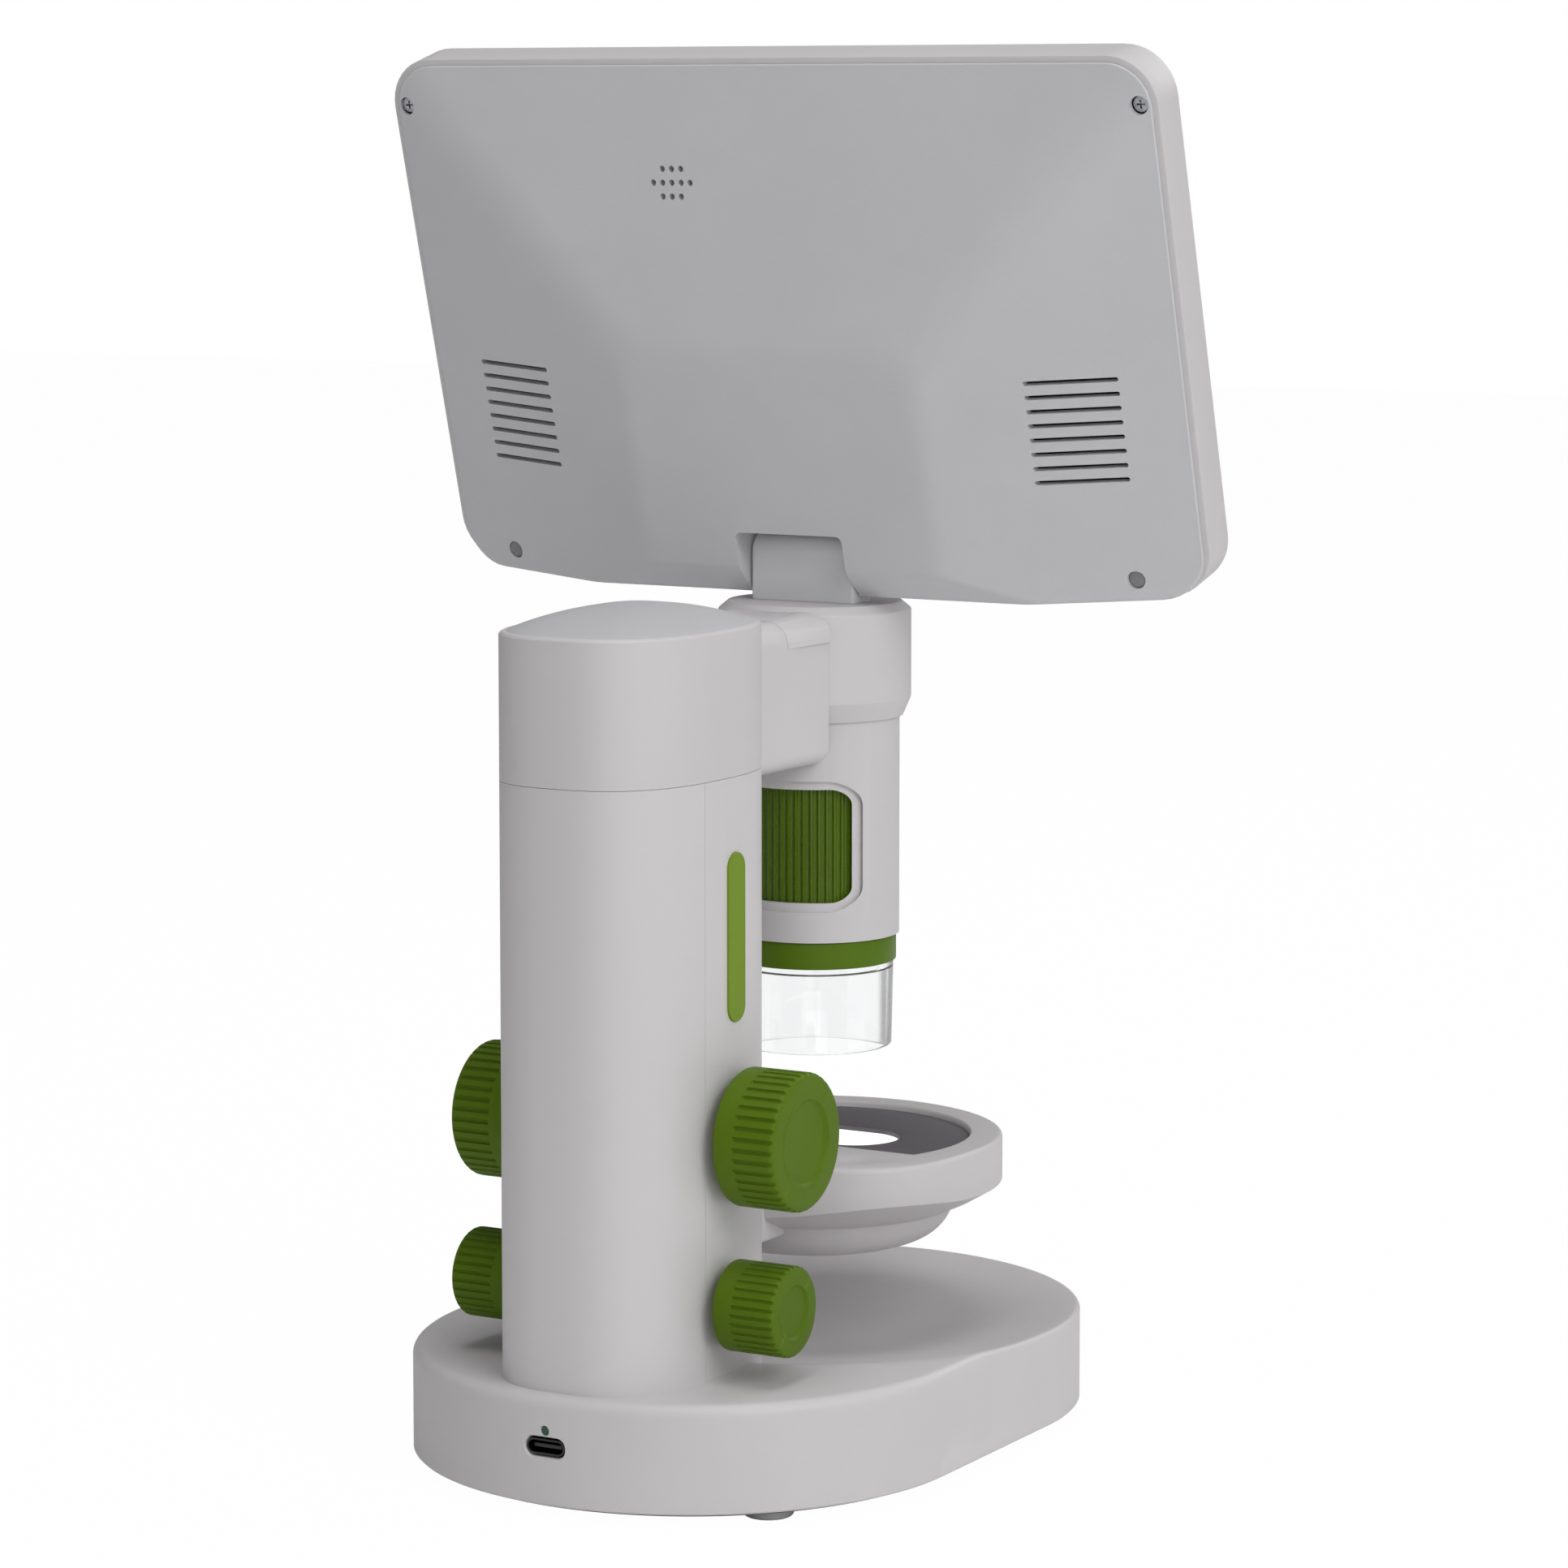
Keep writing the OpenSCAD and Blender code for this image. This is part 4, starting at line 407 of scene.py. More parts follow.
# A flat outline repeated at several heights
def levels(ring, *heights, y=0.0):
    return [[(px, py + y, z) for px, py in ring] for z in heights]


# Steps round a soft edge: how far in from the side and how far down from the top
def quarter(steps, r=1.0):
    turns = [pi / 2 * k / steps for k in range(steps + 1)]
    return [(r * (1 - cos(t)), r * (1 - sin(t))) for t in turns]


# The lesser of two heights, with a soft change over k
def softMin(a, b, k):
    h = max(k - abs(a - b), 0) / k
    return min(a, b) - h * h * k / 4


def shade(mesh, angle):
    mesh.shade_smooth()
    mesh.set_sharp_from_angle(angle=radians(angle))


def welded(mesh, reach):
    bm = bmesh.new()
    bm.from_mesh(mesh)
    bmesh.ops.remove_doubles(bm, verts=bm.verts, dist=reach)
    bmesh.ops.dissolve_degenerate(bm, edges=bm.edges, dist=1e-7)
    bmesh.ops.recalc_face_normals(bm, faces=bm.faces)
    bm.to_mesh(mesh)
    bm.free()


def meshOf(name, verts, faces, angle=35, place=None):
    mesh = bpy.data.meshes.new(name)
    mesh.from_pydata([(place @ Vector(v) if place else Vector(v)) * mm for v in verts], [], faces)
    welded(mesh, 2e-7)
    shade(mesh, angle)
    return addObject(name, mesh)


# Four-sided faces between two closed rings of points, which start at a and b
def band(a, b, count):
    return [(a + j, a + (j + 1) % count, b + (j + 1) % count, b + j) for j in range(count)]


# Skin over a row of closed rings, the last joined to the first, but for the gap after ring number "gap"
def skinOf(rings, gap=None, lids=False):
    count, faces = len(rings[0]), []
    for i in range(len(rings)):
        a, b = i * count, (i + 1) % len(rings) * count
        if i != gap:
            faces += band(a, b, count)
        elif lids:
            faces += [tuple(range(a, a + count)), tuple(range(b, b + count))]
    return [v for ring in rings for v in ring], faces


# With wrap the last ring joins the first, as on a tube with a bore
def loft(name, rings, wrap=False, angle=35, place=None):
    count, last = len(rings[0]), len(rings) - 1
    verts, faces = skinOf(rings, None if wrap else last)
    if not wrap:
        faces += [tuple(range(count)), tuple(reversed(range(last * count, len(verts))))]
    return meshOf(name, verts, faces, angle, place)


def lathe(name, profile, place=None, steps=128, angle=35):
    return loft(name, [circleRing(r, h, steps) for r, h in profile], True, angle, place)


def alongX(x, y, z, side):
    return Matrix.Translation((x, y, z)) @ Matrix.Rotation(side * pi / 2, 4, "Y")


def upright(y, x=0.0):
    return Matrix.Translation((x, y, 0))


# Moves a mesh made at the origin to its place, which is given in mm
def moveTo(obj, place):
    obj.data.transform(Matrix.Translation(place.translation * mm) @ place.to_quaternion().to_matrix().to_4x4())
    return obj


# The finished piece takes its look and joins its body; the CAD node it stands for is hidden
def finished(obj, stands=None, look="paleCase", body="stand"):
    obj.data.materials.clear()
    obj.data.materials.append(mats[look])
    for poly in obj.data.polygons:
        poly.material_index = 0
    if stands:
        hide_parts(stands)
    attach(obj, body)


# Runs the modifiers into a plain mesh, so that what is kept is only the mesh
def settle(obj, angle=35):
    bpy.context.view_layer.update()
    made = bpy.data.meshes.new_from_object(obj.evaluated_get(bpy.context.evaluated_depsgraph_get()))
    obj.modifiers.clear()
    obj.data = made
    shade(made, angle)
    return obj


def cutBy(obj, cutters, angle=35):
    for cutter in cutters:
        cut = obj.modifiers.new("cut", "BOOLEAN")
        cut.operation = "DIFFERENCE"
        cut.solver = "EXACT"
        cut.object = cutter
    settle(obj, angle)
    for cutter in cutters:
        bpy.data.objects.remove(cutter)
    return obj


def roundRect(w, h, r, steps=8):
    ring = []
    for sx, sy, start in ((1, -1, -90), (1, 1, 0), (-1, 1, 90), (-1, -1, 180)):
        for k in range(steps + 1):
            t = radians(start + 90 * k / steps)
            ring.append((sx * (w / 2 - r) + r * cos(t), sy * (h / 2 - r) + r * sin(t)))
    return ring


def bent(v, power):
    return copysign(abs(v) ** power, v)


def oval(a, b):
    return [(a * bent(x, 2 / ovalPower), b * bent(y, 2 / ovalPower)) for x, y, _ in circleRing(1, 0, 192)]


# Gives each corner the normal of the curved skin it lies on, where smoothOf knows one
def trueNormals(obj, smoothOf):
    mesh = obj.data
    given = [Vector(mesh.corner_normals[i].vector) for i in range(len(mesh.loops))]
    for poly in mesh.polygons:
        for i in poly.loop_indices:
            true = smoothOf(mesh.vertices[mesh.loops[i].vertex_index].co / mm)
            if true is not None and true.dot(poly.normal) > 0.93:
                given[i] = true
            elif max(abs(c) for c in poly.normal) > 0.9998:
                given[i] = poly.normal.copy()
    mesh.normals_split_custom_set([tuple(v) for v in given])


# A welded copy of a CAD solid; smoothOf gives the true normal where the curved skin is known,
# and reshape moves single points before the edges are bevelled
def carried(name, source, look="paleCase", body="stand", angle=30, smoothOf=None,
            bevel=0.0, reshape=None):
    mesh = nodes[source].data.copy()
    mesh.name = name
    bm = bmesh.new()
    bm.from_mesh(mesh)
    bmesh.ops.remove_doubles(bm, verts=bm.verts, dist=1e-6)
    if reshape:
        for vert in bm.verts:
            vert.co = reshape(vert.co / mm) * mm
    if bevel:
        bmesh.ops.dissolve_limit(bm, angle_limit=radians(1), verts=bm.verts, edges=bm.edges)
    bm.to_mesh(mesh)
    bm.free()
    obj = addObject(name, mesh)
    shade(mesh, angle)
    if bevel:
        soft = obj.modifiers.new("soft", "BEVEL")
        soft.width = bevel * mm
        soft.segments = 2
        soft.limit_method = "ANGLE"
        soft.angle_limit = radians(angle)
        soft.harden_normals = True
        settle(obj, angle)
    if smoothOf:
        trueNormals(obj, smoothOf)
    finished(obj, source, look, body)


# The arm's long edges are quarter rounds about centres (half width, height), above or below them
arm = {"edges": ((8.0, 173.1, 1), (9.5, 149.4, -1)), "rear": 24, "near": 0.05}


def columnNormal(p):
    (a, b), n, near = columnHalf, ovalPower, arm["near"]
    for half, high, side in arm["edges"]:
        if p.y < arm["rear"] and abs(p.x) > half - near and (p.z - high) * side > -near:
            return Vector((copysign(abs(p.x) - half, p.x), 0, p.z - high)).normalized()
    x, y = p.x / a, (p.y - columnY) / b
    if not 0.88 < abs(x) ** n + abs(y) ** n < 1.06:
        return None
    steepX, steepY = abs(x) ** (n - 1) / a, abs(y) ** (n - 1) / b
    return Vector((copysign(steepX, x), copysign(steepY, y), 0)).normalized()


def headNormal(p):
    return Vector((p.x, p.y - headY, 0)).normalized()


# Foot: round-ended shell with a shallow dish, a soft edge and two openings in its rear
foot = {"r": 60.2, "run": 24.6, "low": 2.8, "top": 25.4, "edge": 2.4, "frontEdge": 1.1, "wall": 2.4, "under": 0.4,
        "ball": 263.0, "dish": 16.8, "soft": 0.35, "usb": (9.6, 4.2, 14.9), "lip": 0.55, "lamp": (1.0, 18.36),
        "rear": 84.8, "stub": (18.0, 25.38)}


def stadium(r, arcs=72, straight=10):
    ring = []
    for side, start in ((1, 0), (-1, 180)):
        for k in range(arcs + 1):
            t = radians(start + 180 * k / arcs)
            ring.append((r * cos(t), side * foot["run"] + r * sin(t)))
        for k in range(1, straight):
            y = side * (foot["run"] - 2 * foot["run"] * k / straight)
            ring.append((-side * r, y))
    return ring


def footTop(x, y):
    out2 = x * x + (y + foot["run"]) ** 2
    ball = foot["dish"] + foot["ball"] - sqrt(foot["ball"] ** 2 - out2)
    return softMin(ball, foot["top"], foot["soft"])


def footShell():
    r, wall, under = foot["r"], foot["wall"], foot["under"]
    outline = stadium(r)
    edgeOf = [foot["frontEdge"] + (foot["edge"] - foot["frontEdge"]) * min(max((y + 10) / 50, 0), 1)
              for x, y in outline]
    rings = [[(x, y, foot["low"] + under * (1 - s)) for x, y in stadium(r - under * s)] for s in (1.0, 0.4, 0.0)]
    rings += levels(outline, 8, 14, 20)
    for run, down in quarter(8):
        ring = []
        for (x, y), e in zip(outline, edgeOf):
            cy = max(min(y, foot["run"]), -foot["run"])
            out = Vector((x, y - cy)).normalized()
            flat = Vector((x, y)) - out * e
            spot = Vector((x, y)) - out * e * run
            ring.append((spot.x, spot.y, footTop(flat.x, flat.y) - e * down))
        rings.append(ring)
    for d in [4 + 2.2 * k for k in range(26)] + [r]:
        rings.append([(x, y, footTop(x, y)) for x, y in stadium(max(r - d, 0.0))])
    split = len(rings) - 1
    for d in reversed([wall + 0.01, 8, 20, 34, 48, r]):
        rings.append([(x, y, footTop(x, y) - wall) for x, y in stadium(r - d)])
    rings += levels(stadium(r - wall), foot["low"])
    return meshOf("foot_shell", *skinOf(rings, split), 40)


def lippedHole(name, ring, grow, z):
    rear, lip = foot["rear"], foot["lip"]
    rings = []
    for more, step in ((0.0, -9.0), (0.0, -lip), (grow * 0.3, -lip * 0.45), (grow, 0.1), (grow * 1.6, 0.6)):
        rings.append([(x + more * copysign(min(abs(x), 1), x), rear + step,
                       z + y + more * copysign(min(abs(y), 1), y)) for x, y in ring])
    return loft(name, rings)


w, h, z = foot["usb"]
lampR, lampZ = foot["lamp"]
usbHole = lippedHole("usbCut", roundRect(w, h, h / 2 - 1e-4, 14), 0.45, z)
lampHole = lippedHole("lampCut", [(x, y) for x, y, _ in circleRing(lampR, 0, 32)], 0.25, lampZ)
finished(cutBy(footShell(), [usbHole, lampHole], 40), "base_shell")
stub = loft("foot_stub", levels(oval(*columnHalf), *foot["stub"], y=columnY), angle=40)
finished(stub)

pads = {"x": 38, "y": 59, "r": 5.3, "high": 2.75, "count": 48}


def footPads():
    verts, faces, n = [], [], pads["count"]
    profile = rounded([(0, 0, 0), (pads["r"], 0, 0.9), (pads["r"], pads["high"], 0.2), (0, pads["high"], 0)], 5)
    for sx, sy in ((-1, -1), (-1, 1), (1, -1), (1, 1)):
        base = len(verts)
        for i, (r, h) in enumerate(profile):
            verts += [(x + sx * pads["x"], y + sy * pads["y"], h) for x, y, _ in circleRing(r, h, n)]
            faces += band(base + i * n, base + (i + 1) % len(profile) * n, n)
    return meshOf("foot_pads", verts, faces)


# The pads take the lightened rubber, painted light against the shade beneath them
finished(footPads(), "base_feet", "footRubberLit")
print("foot made")


# Column: the two shells, the upper column with its arm and the domed cap
for name, source in (("column_shell", "column_front"), ("rear_cover", "column_rear_cover"),
                     ("upper_column", "column_head")):
    carried(name, source, smoothOf=columnNormal)

cap = {"inset": 1.2, "low": 180.6, "h": 4.7, "power": 2.05, "least": 0.015, "steps": 21, "seam": 0.15,
       "plug": (2.45, 176.4)}
a, b = columnHalf
inset, plugLow = cap["plug"]
rings = levels(oval(a - inset, b - inset), plugLow, cap["low"] - cap["seam"], y=columnY)
for k in range(cap["steps"] + 1):
    s = 1 - (1 - cap["least"]) * k / cap["steps"]
    high = cap["low"] + cap["h"] * (1 - s ** cap["power"]) if k else cap["low"] - cap["seam"]
    rings.append([(x * s, y * s + columnY, high) for x, y in oval(a - cap["inset"], b - cap["inset"])])
# The dome takes the darker pale case, painted shade
finished(loft("column_dome", rings, angle=50), "column_cap", "paleCaseShaded")

# The saddle stands proud at the head and runs out flush towards the column
wrap = {"front": -9.9, "rear": 7.4, "side": 13.0, "top": 178.1, "round": 5.0, "left": 0.07}


def runOut(p):
    midX, midZ = wrap["side"] - wrap["round"], wrap["top"] - wrap["round"]
    gone = (1 - wrap["left"]) * min(max((p.y - wrap["front"]) / (wrap["rear"] - wrap["front"]), 0), 1)
    away = Vector((max(abs(p.x) - midX, 0), max(p.z - midZ, 0)))
    proud = away.length - wrap["round"]
    if proud <= 0:
        return p
    away *= 1 - gone * proud / away.length
    return Vector((copysign(midX + away.x, p.x) if abs(p.x) > midX else p.x, p.y,
                   midZ + away.y if p.z > midZ else p.z))


carried("arm_saddle", "arm_cover", bevel=0.22, reshape=runOut)
carried("green_strips", "side_strips", "stripGreen", bevel=0.2)
print("column made")


# Head: turned cap, green ring, clear skirt and barrel
head = {"capR": 21.18, "capTop": 179.7, "capLow": 158.6, "collar": 4.1, "fit": 18.7, "slope": 1.8, "under": 2.4}
greenRing = {"r": 18.0, "in": 15.97, "low": 100.3, "top": 106.25}
skirt = {"low": 81.3, "r": (17.0, 17.4), "in": 15.5, "shoulder": 100.25, "spigot": (14.45, 15.95), "top": 103.3,
         "roof": (15.9, 98.8)}
headPlace = upright(headY)
capR, capTop, capLow, fit = head["capR"], head["capTop"], head["capLow"], head["fit"]
capProfile = rounded([(0, capTop - head["under"], 0), (fit, capTop - head["under"], 0),
                      (fit, capLow - head["collar"], 0), (fit + 0.75, capLow - head["collar"], 0.2),
                      (capR, capLow, 1.2), (capR, capTop - head["slope"], 0.6),
                      (capR - head["slope"] * 1.2, capTop, 0.6), (0, capTop, 0)], 8)
finished(lathe("head_cover", capProfile, headPlace), "head_cap")
ringIn, ringR, ringLow, ringTop = (greenRing[key] for key in ("in", "r", "low", "top"))
ringProfile = rounded([(ringIn, ringLow, 0), (ringR, ringLow, 0.35), (ringR, ringTop, 0.5), (ringIn, ringTop, 0)])
finished(lathe("green_ring", ringProfile, headPlace), "lens_ring", "ringGreen")
spigotIn, spigotOut = skirt["spigot"]
skirtProfile = rounded([(skirt["in"], skirt["low"], 0.45), (skirt["r"][0], skirt["low"], 0.6),
                        (skirt["r"][1], skirt["shoulder"], 0.1), (spigotOut, skirt["shoulder"], 0),
                        (spigotOut, skirt["top"], 0.2), (spigotIn, skirt["top"], 0.2),
                        (spigotIn, skirt["roof"][1], 0), (*skirt["roof"], 0.5)], 5)
finished(lathe("clear_skirt", skirtProfile, headPlace, 160), "clear_shroud", "clearSkirt")

carried("barrel_shell", "head_barrel", angle=25, smoothOf=headNormal, bevel=0.3)
print("head made")


# Node tree whose input "Geometry" is the piece to be copied
def copyTree(name, inputs):
    geometry = ("Geometry", "NodeSocketGeometry")
    return newGroup(name, [(*entry, None) for entry in (geometry, *inputs)], [geometry], "GeometryNodeTree")


# Ends a tree: the copies are made real and get their material
def paintCopies(tree, out, copies, material, weld=None):
    copies = firstOf(tree, "GeometryNodeRealizeInstances", {"Geometry": copies})
    if weld:
        copies = firstOf(tree, "GeometryNodeMergeByDistance", {"Geometry": copies, "Distance": weld})
    feed(tree, out, {"Geometry": firstOf(tree, "GeometryNodeSetMaterial", {
        "Geometry": copies, "Material": material})})
    return tree


# Turns one sector round the axis and welds the copies
def turningTree(name, material):
    tree, src, out = copyTree(name, [("Copies", "NodeSocketInt"), ("Weld", "NodeSocketFloat")])
    step = maths(tree, "DIVIDE", 2 * pi, src.outputs["Copies"])
    angle = maths(tree, "MULTIPLY", firstOf(tree, "GeometryNodeInputIndex"), step)
    copies = firstOf(tree, "GeometryNodeInstanceOnPoints", {
        "Points": firstOf(tree, "GeometryNodePoints", {"Count": src.outputs["Copies"]}),
        "Instance": src.outputs["Geometry"],
        "Rotation": firstOf(tree, "FunctionNodeAxisAngleToRotation", {"Angle": angle})})
    return paintCopies(tree, out, copies, material, src.outputs["Weld"])


# Sets copies in columns and rows, one step apart
def rowsTree(name, material):
    tree, src, out = copyTree(name, [("Columns", "NodeSocketInt"), ("Rows", "NodeSocketInt"),
                                     ("Step", "NodeSocketVector")])
    index, columns = firstOf(tree, "GeometryNodeInputIndex"), src.outputs["Columns"]
    points = firstOf(tree, "GeometryNodePoints", {"Count": maths(tree, "MULTIPLY", columns, src.outputs["Rows"])})
    row = maths(tree, "FLOOR", maths(tree, "DIVIDE", index, columns))
    place = firstOf(tree, "ShaderNodeCombineXYZ", {"X": maths(tree, "MODULO", index, columns), "Y": row})
    spot = firstOf(tree, "ShaderNodeVectorMath", {0: place, 1: src.outputs["Step"]}, operation="MULTIPLY")
    copies = firstOf(tree, "GeometryNodeInstanceOnPoints", {
        "Points": firstOf(tree, "GeometryNodeSetPosition", {"Geometry": points, "Position": spot}),
        "Instance": src.outputs["Geometry"]})
    return paintCopies(tree, out, copies, material)


def runTree(obj, tree, values, angle=35):
    grow = obj.modifiers.new("grow", "NODES")
    grow.node_group = tree
    for item in tree.interface.items_tree:
        if item.in_out == "INPUT" and item.name in values:
            grow[item.identifier] = values[item.name]
    return settle(obj, angle)


# Copies of a piece made at the origin in columns and rows, then moved to their place
def inRows(obj, columns, rows, step, place, look, angle=35):
    values = {"Columns": columns, "Rows": rows, "Step": [v * mm for v in step]}
    return moveTo(runTree(obj, rowsTree(obj.name + "Tree", mats[look]), values, angle), place)


# A grooved round body from one sector: rows are (radius, height), the grooves run from "start" on
def grooved(name, look, rows, place, loop=False):
    count, big, small = look["count"], look["r"], look["groove"]
    half = pi / count
    edge = asin(small / big)
    turns = [edge * s for s in (0, 0.3, 0.55, 0.75, 0.9, 1.0, 1.12)]
    turns += [(turns[-1] + half) / 2, half]
    turns = [-t for t in reversed(turns[1:])] + turns
    verts = []
    for r, h in rows:
        for t in turns:
            across = big * sin(t)
            reach = small ** 2 - across ** 2 - max(look["start"] + small - h, 0) ** 2
            inner = big * cos(t) - sqrt(reach) if reach > 0 else big + 1
            cut = min(r, inner) if r > big * 0.7 and h > look["start"] - 0.01 else r
            verts.append((cut * cos(t), cut * sin(t), h))
    n, faces = len(turns), []
    for i in range(len(rows) if loop else len(rows) - 1):
        a, b = i * n, (i + 1) % len(rows) * n
        faces += [(a + j, a + j + 1, b + j + 1, b + j) for j in range(n - 1)]
    mesh = bpy.data.meshes.new(name)
    mesh.from_pydata([Vector(v) * mm for v in verts], [], faces)
    obj = addObject(name, mesh)
    runTree(obj, turningTree(name + "Tree", mats[look["look"]]), {"Copies": count, "Weld": 2e-6}, 40)
    welded(obj.data, 2e-6)
    moveTo(obj, place)
    shade(obj.data, 38)
    return obj


# Knobs: smooth collar, round-ended grooves, bevelled rim and a raised ring on the face
bigKnob = {"r": 14.5, "long": 14.3, "start": 4.6, "bevel": 1.2, "face": 9.4, "deep": 0.5, "groove": 0.55,
           "count": 40, "look": "leafGreen"}
smallKnob = {"r": 9.5, "long": 14.3, "start": 4.2, "bevel": 0.9, "face": 6.0, "deep": 0.4, "groove": 0.42,
             "count": 32, "look": "leafGreen"}


def knobRows(k):
    r, long, bevel, face, deep = k["r"], k["long"], k["bevel"], k["face"], k["deep"]
    rows = rounded([(0, 0, 0), (r, 0, bevel * 0.6), (r, long, bevel), (face + 0.45, long, 0.12),
                    (face + 0.2, long + 0.12, 0.1), (face - 0.3, long + 0.12, 0.12),
                    (face - 0.5 - deep, long - deep, 0.3), (0, long - deep, 0)], 6)
    start, groove = k["start"], k["groove"]
    first = next(i for i, row in enumerate(rows) if row[1] > start)
    more = [start * 0.5] + [start + groove * s for s in (0, 0.15, 0.35, 0.6, 0.85, 1.0)]
    more += [start + groove + (long - bevel - start - groove) * s for s in (0.25, 0.5, 0.75)]
    return rows[:first] + [(r, h) for h in more] + rows[first:]


# Node, kind, side, place along y and z, body
knobSpots = [("focus_knob_left", bigKnob, -1, 45.2, 75.1, "focus_drive"),
             ("focus_knob_right", bigKnob, 1, 45.2, 75.1, "focus_drive"),
             ("dimmer_knob_left", smallKnob, -1, 50.3, 40.6, "dimmer_left"),
             ("dimmer_knob_right", smallKnob, 1, 50.3, 40.6, "dimmer_right")]
knobSeat = 24.9
for source, kind, side, y, z, body in knobSpots:
    knob = grooved(source.replace("knob", "grip"), kind, knobRows(kind), alongX(side * knobSeat, y, z, side))
    finished(knob, source, kind["look"], body)

wheel = {"r": 16.4, "in": 12.55, "low": 114.8, "high": 139.9, "count": 60, "groove": 0.66, "start": 100.0,
         "look": "wheelGreen"}
wheelRows = rounded([(wheel["in"], wheel["low"], 0.2), (wheel["r"], wheel["low"], 0.3),
                     (wheel["r"], wheel["high"], 0.3), (wheel["in"], wheel["high"], 0.2)], 4)
wheelBody = grooved("ribbed_wheel", wheel, wheelRows, headPlace, loop=True)
finished(wheelBody, "focus_wheel", wheel["look"], "wheel")
print("knobs made")


# Screen, in its own frame: x across, y up the slope, z towards the front
hinge = {"lean": 15.71, "at": (0, -25.54, 190.2), "screen": (0, -8.19, 5.12)}
screenPlace = (Matrix.Translation(hinge["at"]) @ Matrix.Rotation(radians(90 - hinge["lean"]), 4, "X")
               @ Matrix.Translation(hinge["screen"]))
back = {"half": 92.58, "top": 116.83, "deep": 14.0, "flatX": 36.1, "flatV": 57.0, "hip": 9.2, "hipSlope": 0.68,
        "edge": 0.5, "soft": 0.6, "softHip": 2.2, "spine": 9.0, "corner": 9.7,
        "wall": 2.0, "block": (20.5, 17.4), "notch": (13.3, 15.4, -16, -0.8)}


def backDeep(x, v):
    x = abs(x)
    side = back["edge"] + (back["half"] - x) * (back["deep"] - back["edge"]) / (back["half"] - back["flatX"])
    up = back["edge"] + (back["top"] - v) * (back["deep"] - back["edge"]) / (back["top"] - back["flatV"])
    low = back["hip"] + back["hipSlope"] * max(v, 0)
    k = back["soft"]
    slopes = softMin(side, up, back["softHip"])
    return max(softMin(softMin(slopes, back["deep"], k), low, k), back["edge"])


# A rounded rectangle with "wide" and "high" points along its straight sides
def denseRect(w, h, r, cy, wide=120, high=64, steps=8):
    r = max(min(r, w / 2, h / 2), 1e-3)
    arcs = [(x, y + cy) for x, y in roundRect(w, h, r, steps)]
    ring = []
    for i in range(4):
        start, end = i * (steps + 1), (i + 1) * (steps + 1)
        (x, y), (nextX, nextY) = arcs[end - 1], arcs[end % len(arcs)]
        count = wide if i % 2 else high
        ring += arcs[start:end]
        ring += [(x + (nextX - x) * k / count, y + (nextY - y) * k / count) for k in range(1, count)]
    return ring


def backRings():
    w, h, r = 2 * back["half"], back["top"], back["corner"]
    mid = h / 2

    def inward(d):
        return denseRect(w - 2 * d, h - 2 * d, r - d, cy=mid - back["spine"] * d / mid)

    outline = inward(0)
    rings = levels(inward(0.15), -0.02) + levels(outline, -0.15)
    edge = [min(0.9, 0.75 * backDeep(x, v)) for x, v in outline]
    for share, down in quarter(5):
        ring = []
        for (x, v), (ix, iv), e in zip(outline, inward(1.0), edge):
            run = share * e
            px, pv = x + (ix - x) * run, v + (iv - v) * run
            flat = backDeep(x + (ix - x) * e, v + (iv - v) * e)
            ring.append((px, pv, -(flat - e * down)))
        rings.append(ring)
    for d in [1.3, 2.0, 2.8] + [4 + 1.35 * k for k in range(40)] + [mid - 0.35]:
        rings.append([(x, v, -backDeep(x, v)) for x, v in inward(d)])
    split = len(rings) - 1
    bx, bv = back["block"]
    for d in (mid - 0.35, 50, 42, 34, 27, 21, 17.5, 13, 9, 5, 3, back["wall"]):
        ring = []
        for x, v in inward(d):
            solid = abs(x) < bx and v < bv
            ring.append((x, v, -0.02 if solid or d <= back["wall"] else -max(backDeep(x, v) - back["wall"], 0.02)))
        rings.append(ring)
    return rings, split


def at(x, y, z=0.0):
    return screenPlace @ Matrix.Translation((x, y, z))


vents = {"x": 59.1, "v": 27.5, "long": 20.2, "wide": 1.0, "pitch": 3.16, "count": 8, "cut": (-16, -0.3)}
sound = {"x": 21.2, "v": 92.2, "r": 0.7, "pitchX": 2.3, "pitchV": 2.9, "rows": (3, 5, 3), "cut": (-15, -0.3)}
screwsAt = {"corner": (90.0, 107.9), "low": (78.0, 4.9), "sink": 2.0, "cut": (-15, 0.5)}

rings, split = backRings()
screenBack = meshOf("screen_shell", *skinOf(rings, split, True), 35, screenPlace)
cutters = []
for side in (-1, 1):
    slot = loft("ventCut", levels(roundRect(vents["long"], vents["wide"], 0.48, 6), *vents["cut"]))
    cutters.append(inRows(slot, 1, vents["count"], (0, vents["pitch"], 0),
                          at(side * (vents["x"] + vents["long"] / 2), vents["v"]), "blackPlastic"))
    for x, v in (screwsAt["corner"], screwsAt["low"]):
        cutters.append(loft("sinkCut", [circleRing(screwsAt["sink"], z, 40) for z in screwsAt["cut"]],
                            place=at(side * x, v)))
for i, n in enumerate(sound["rows"]):
    hole = loft("soundCut", [circleRing(sound["r"], z) for z in sound["cut"]])
    cutters.append(inRows(hole, n, 1, (sound["pitchX"], 0, 0),
                          at(sound["x"] - (n - 1) / 2 * sound["pitchX"], sound["v"] + (i - 1) * sound["pitchV"]),
                          "blackPlastic"))
nx, nv, *depths = back["notch"]
notchRing = rounded([(-nx, -2, 0), (nx, -2, 0), (nx, nv, 1.5), (-nx, nv, 1.5)], 5)
cutters.append(loft("notchCut", levels(notchRing, *depths), place=screenPlace))
cutBy(screenBack, cutters, 32)
inverse = screenPlace.inverted()
turnBack = screenPlace.to_quaternion()


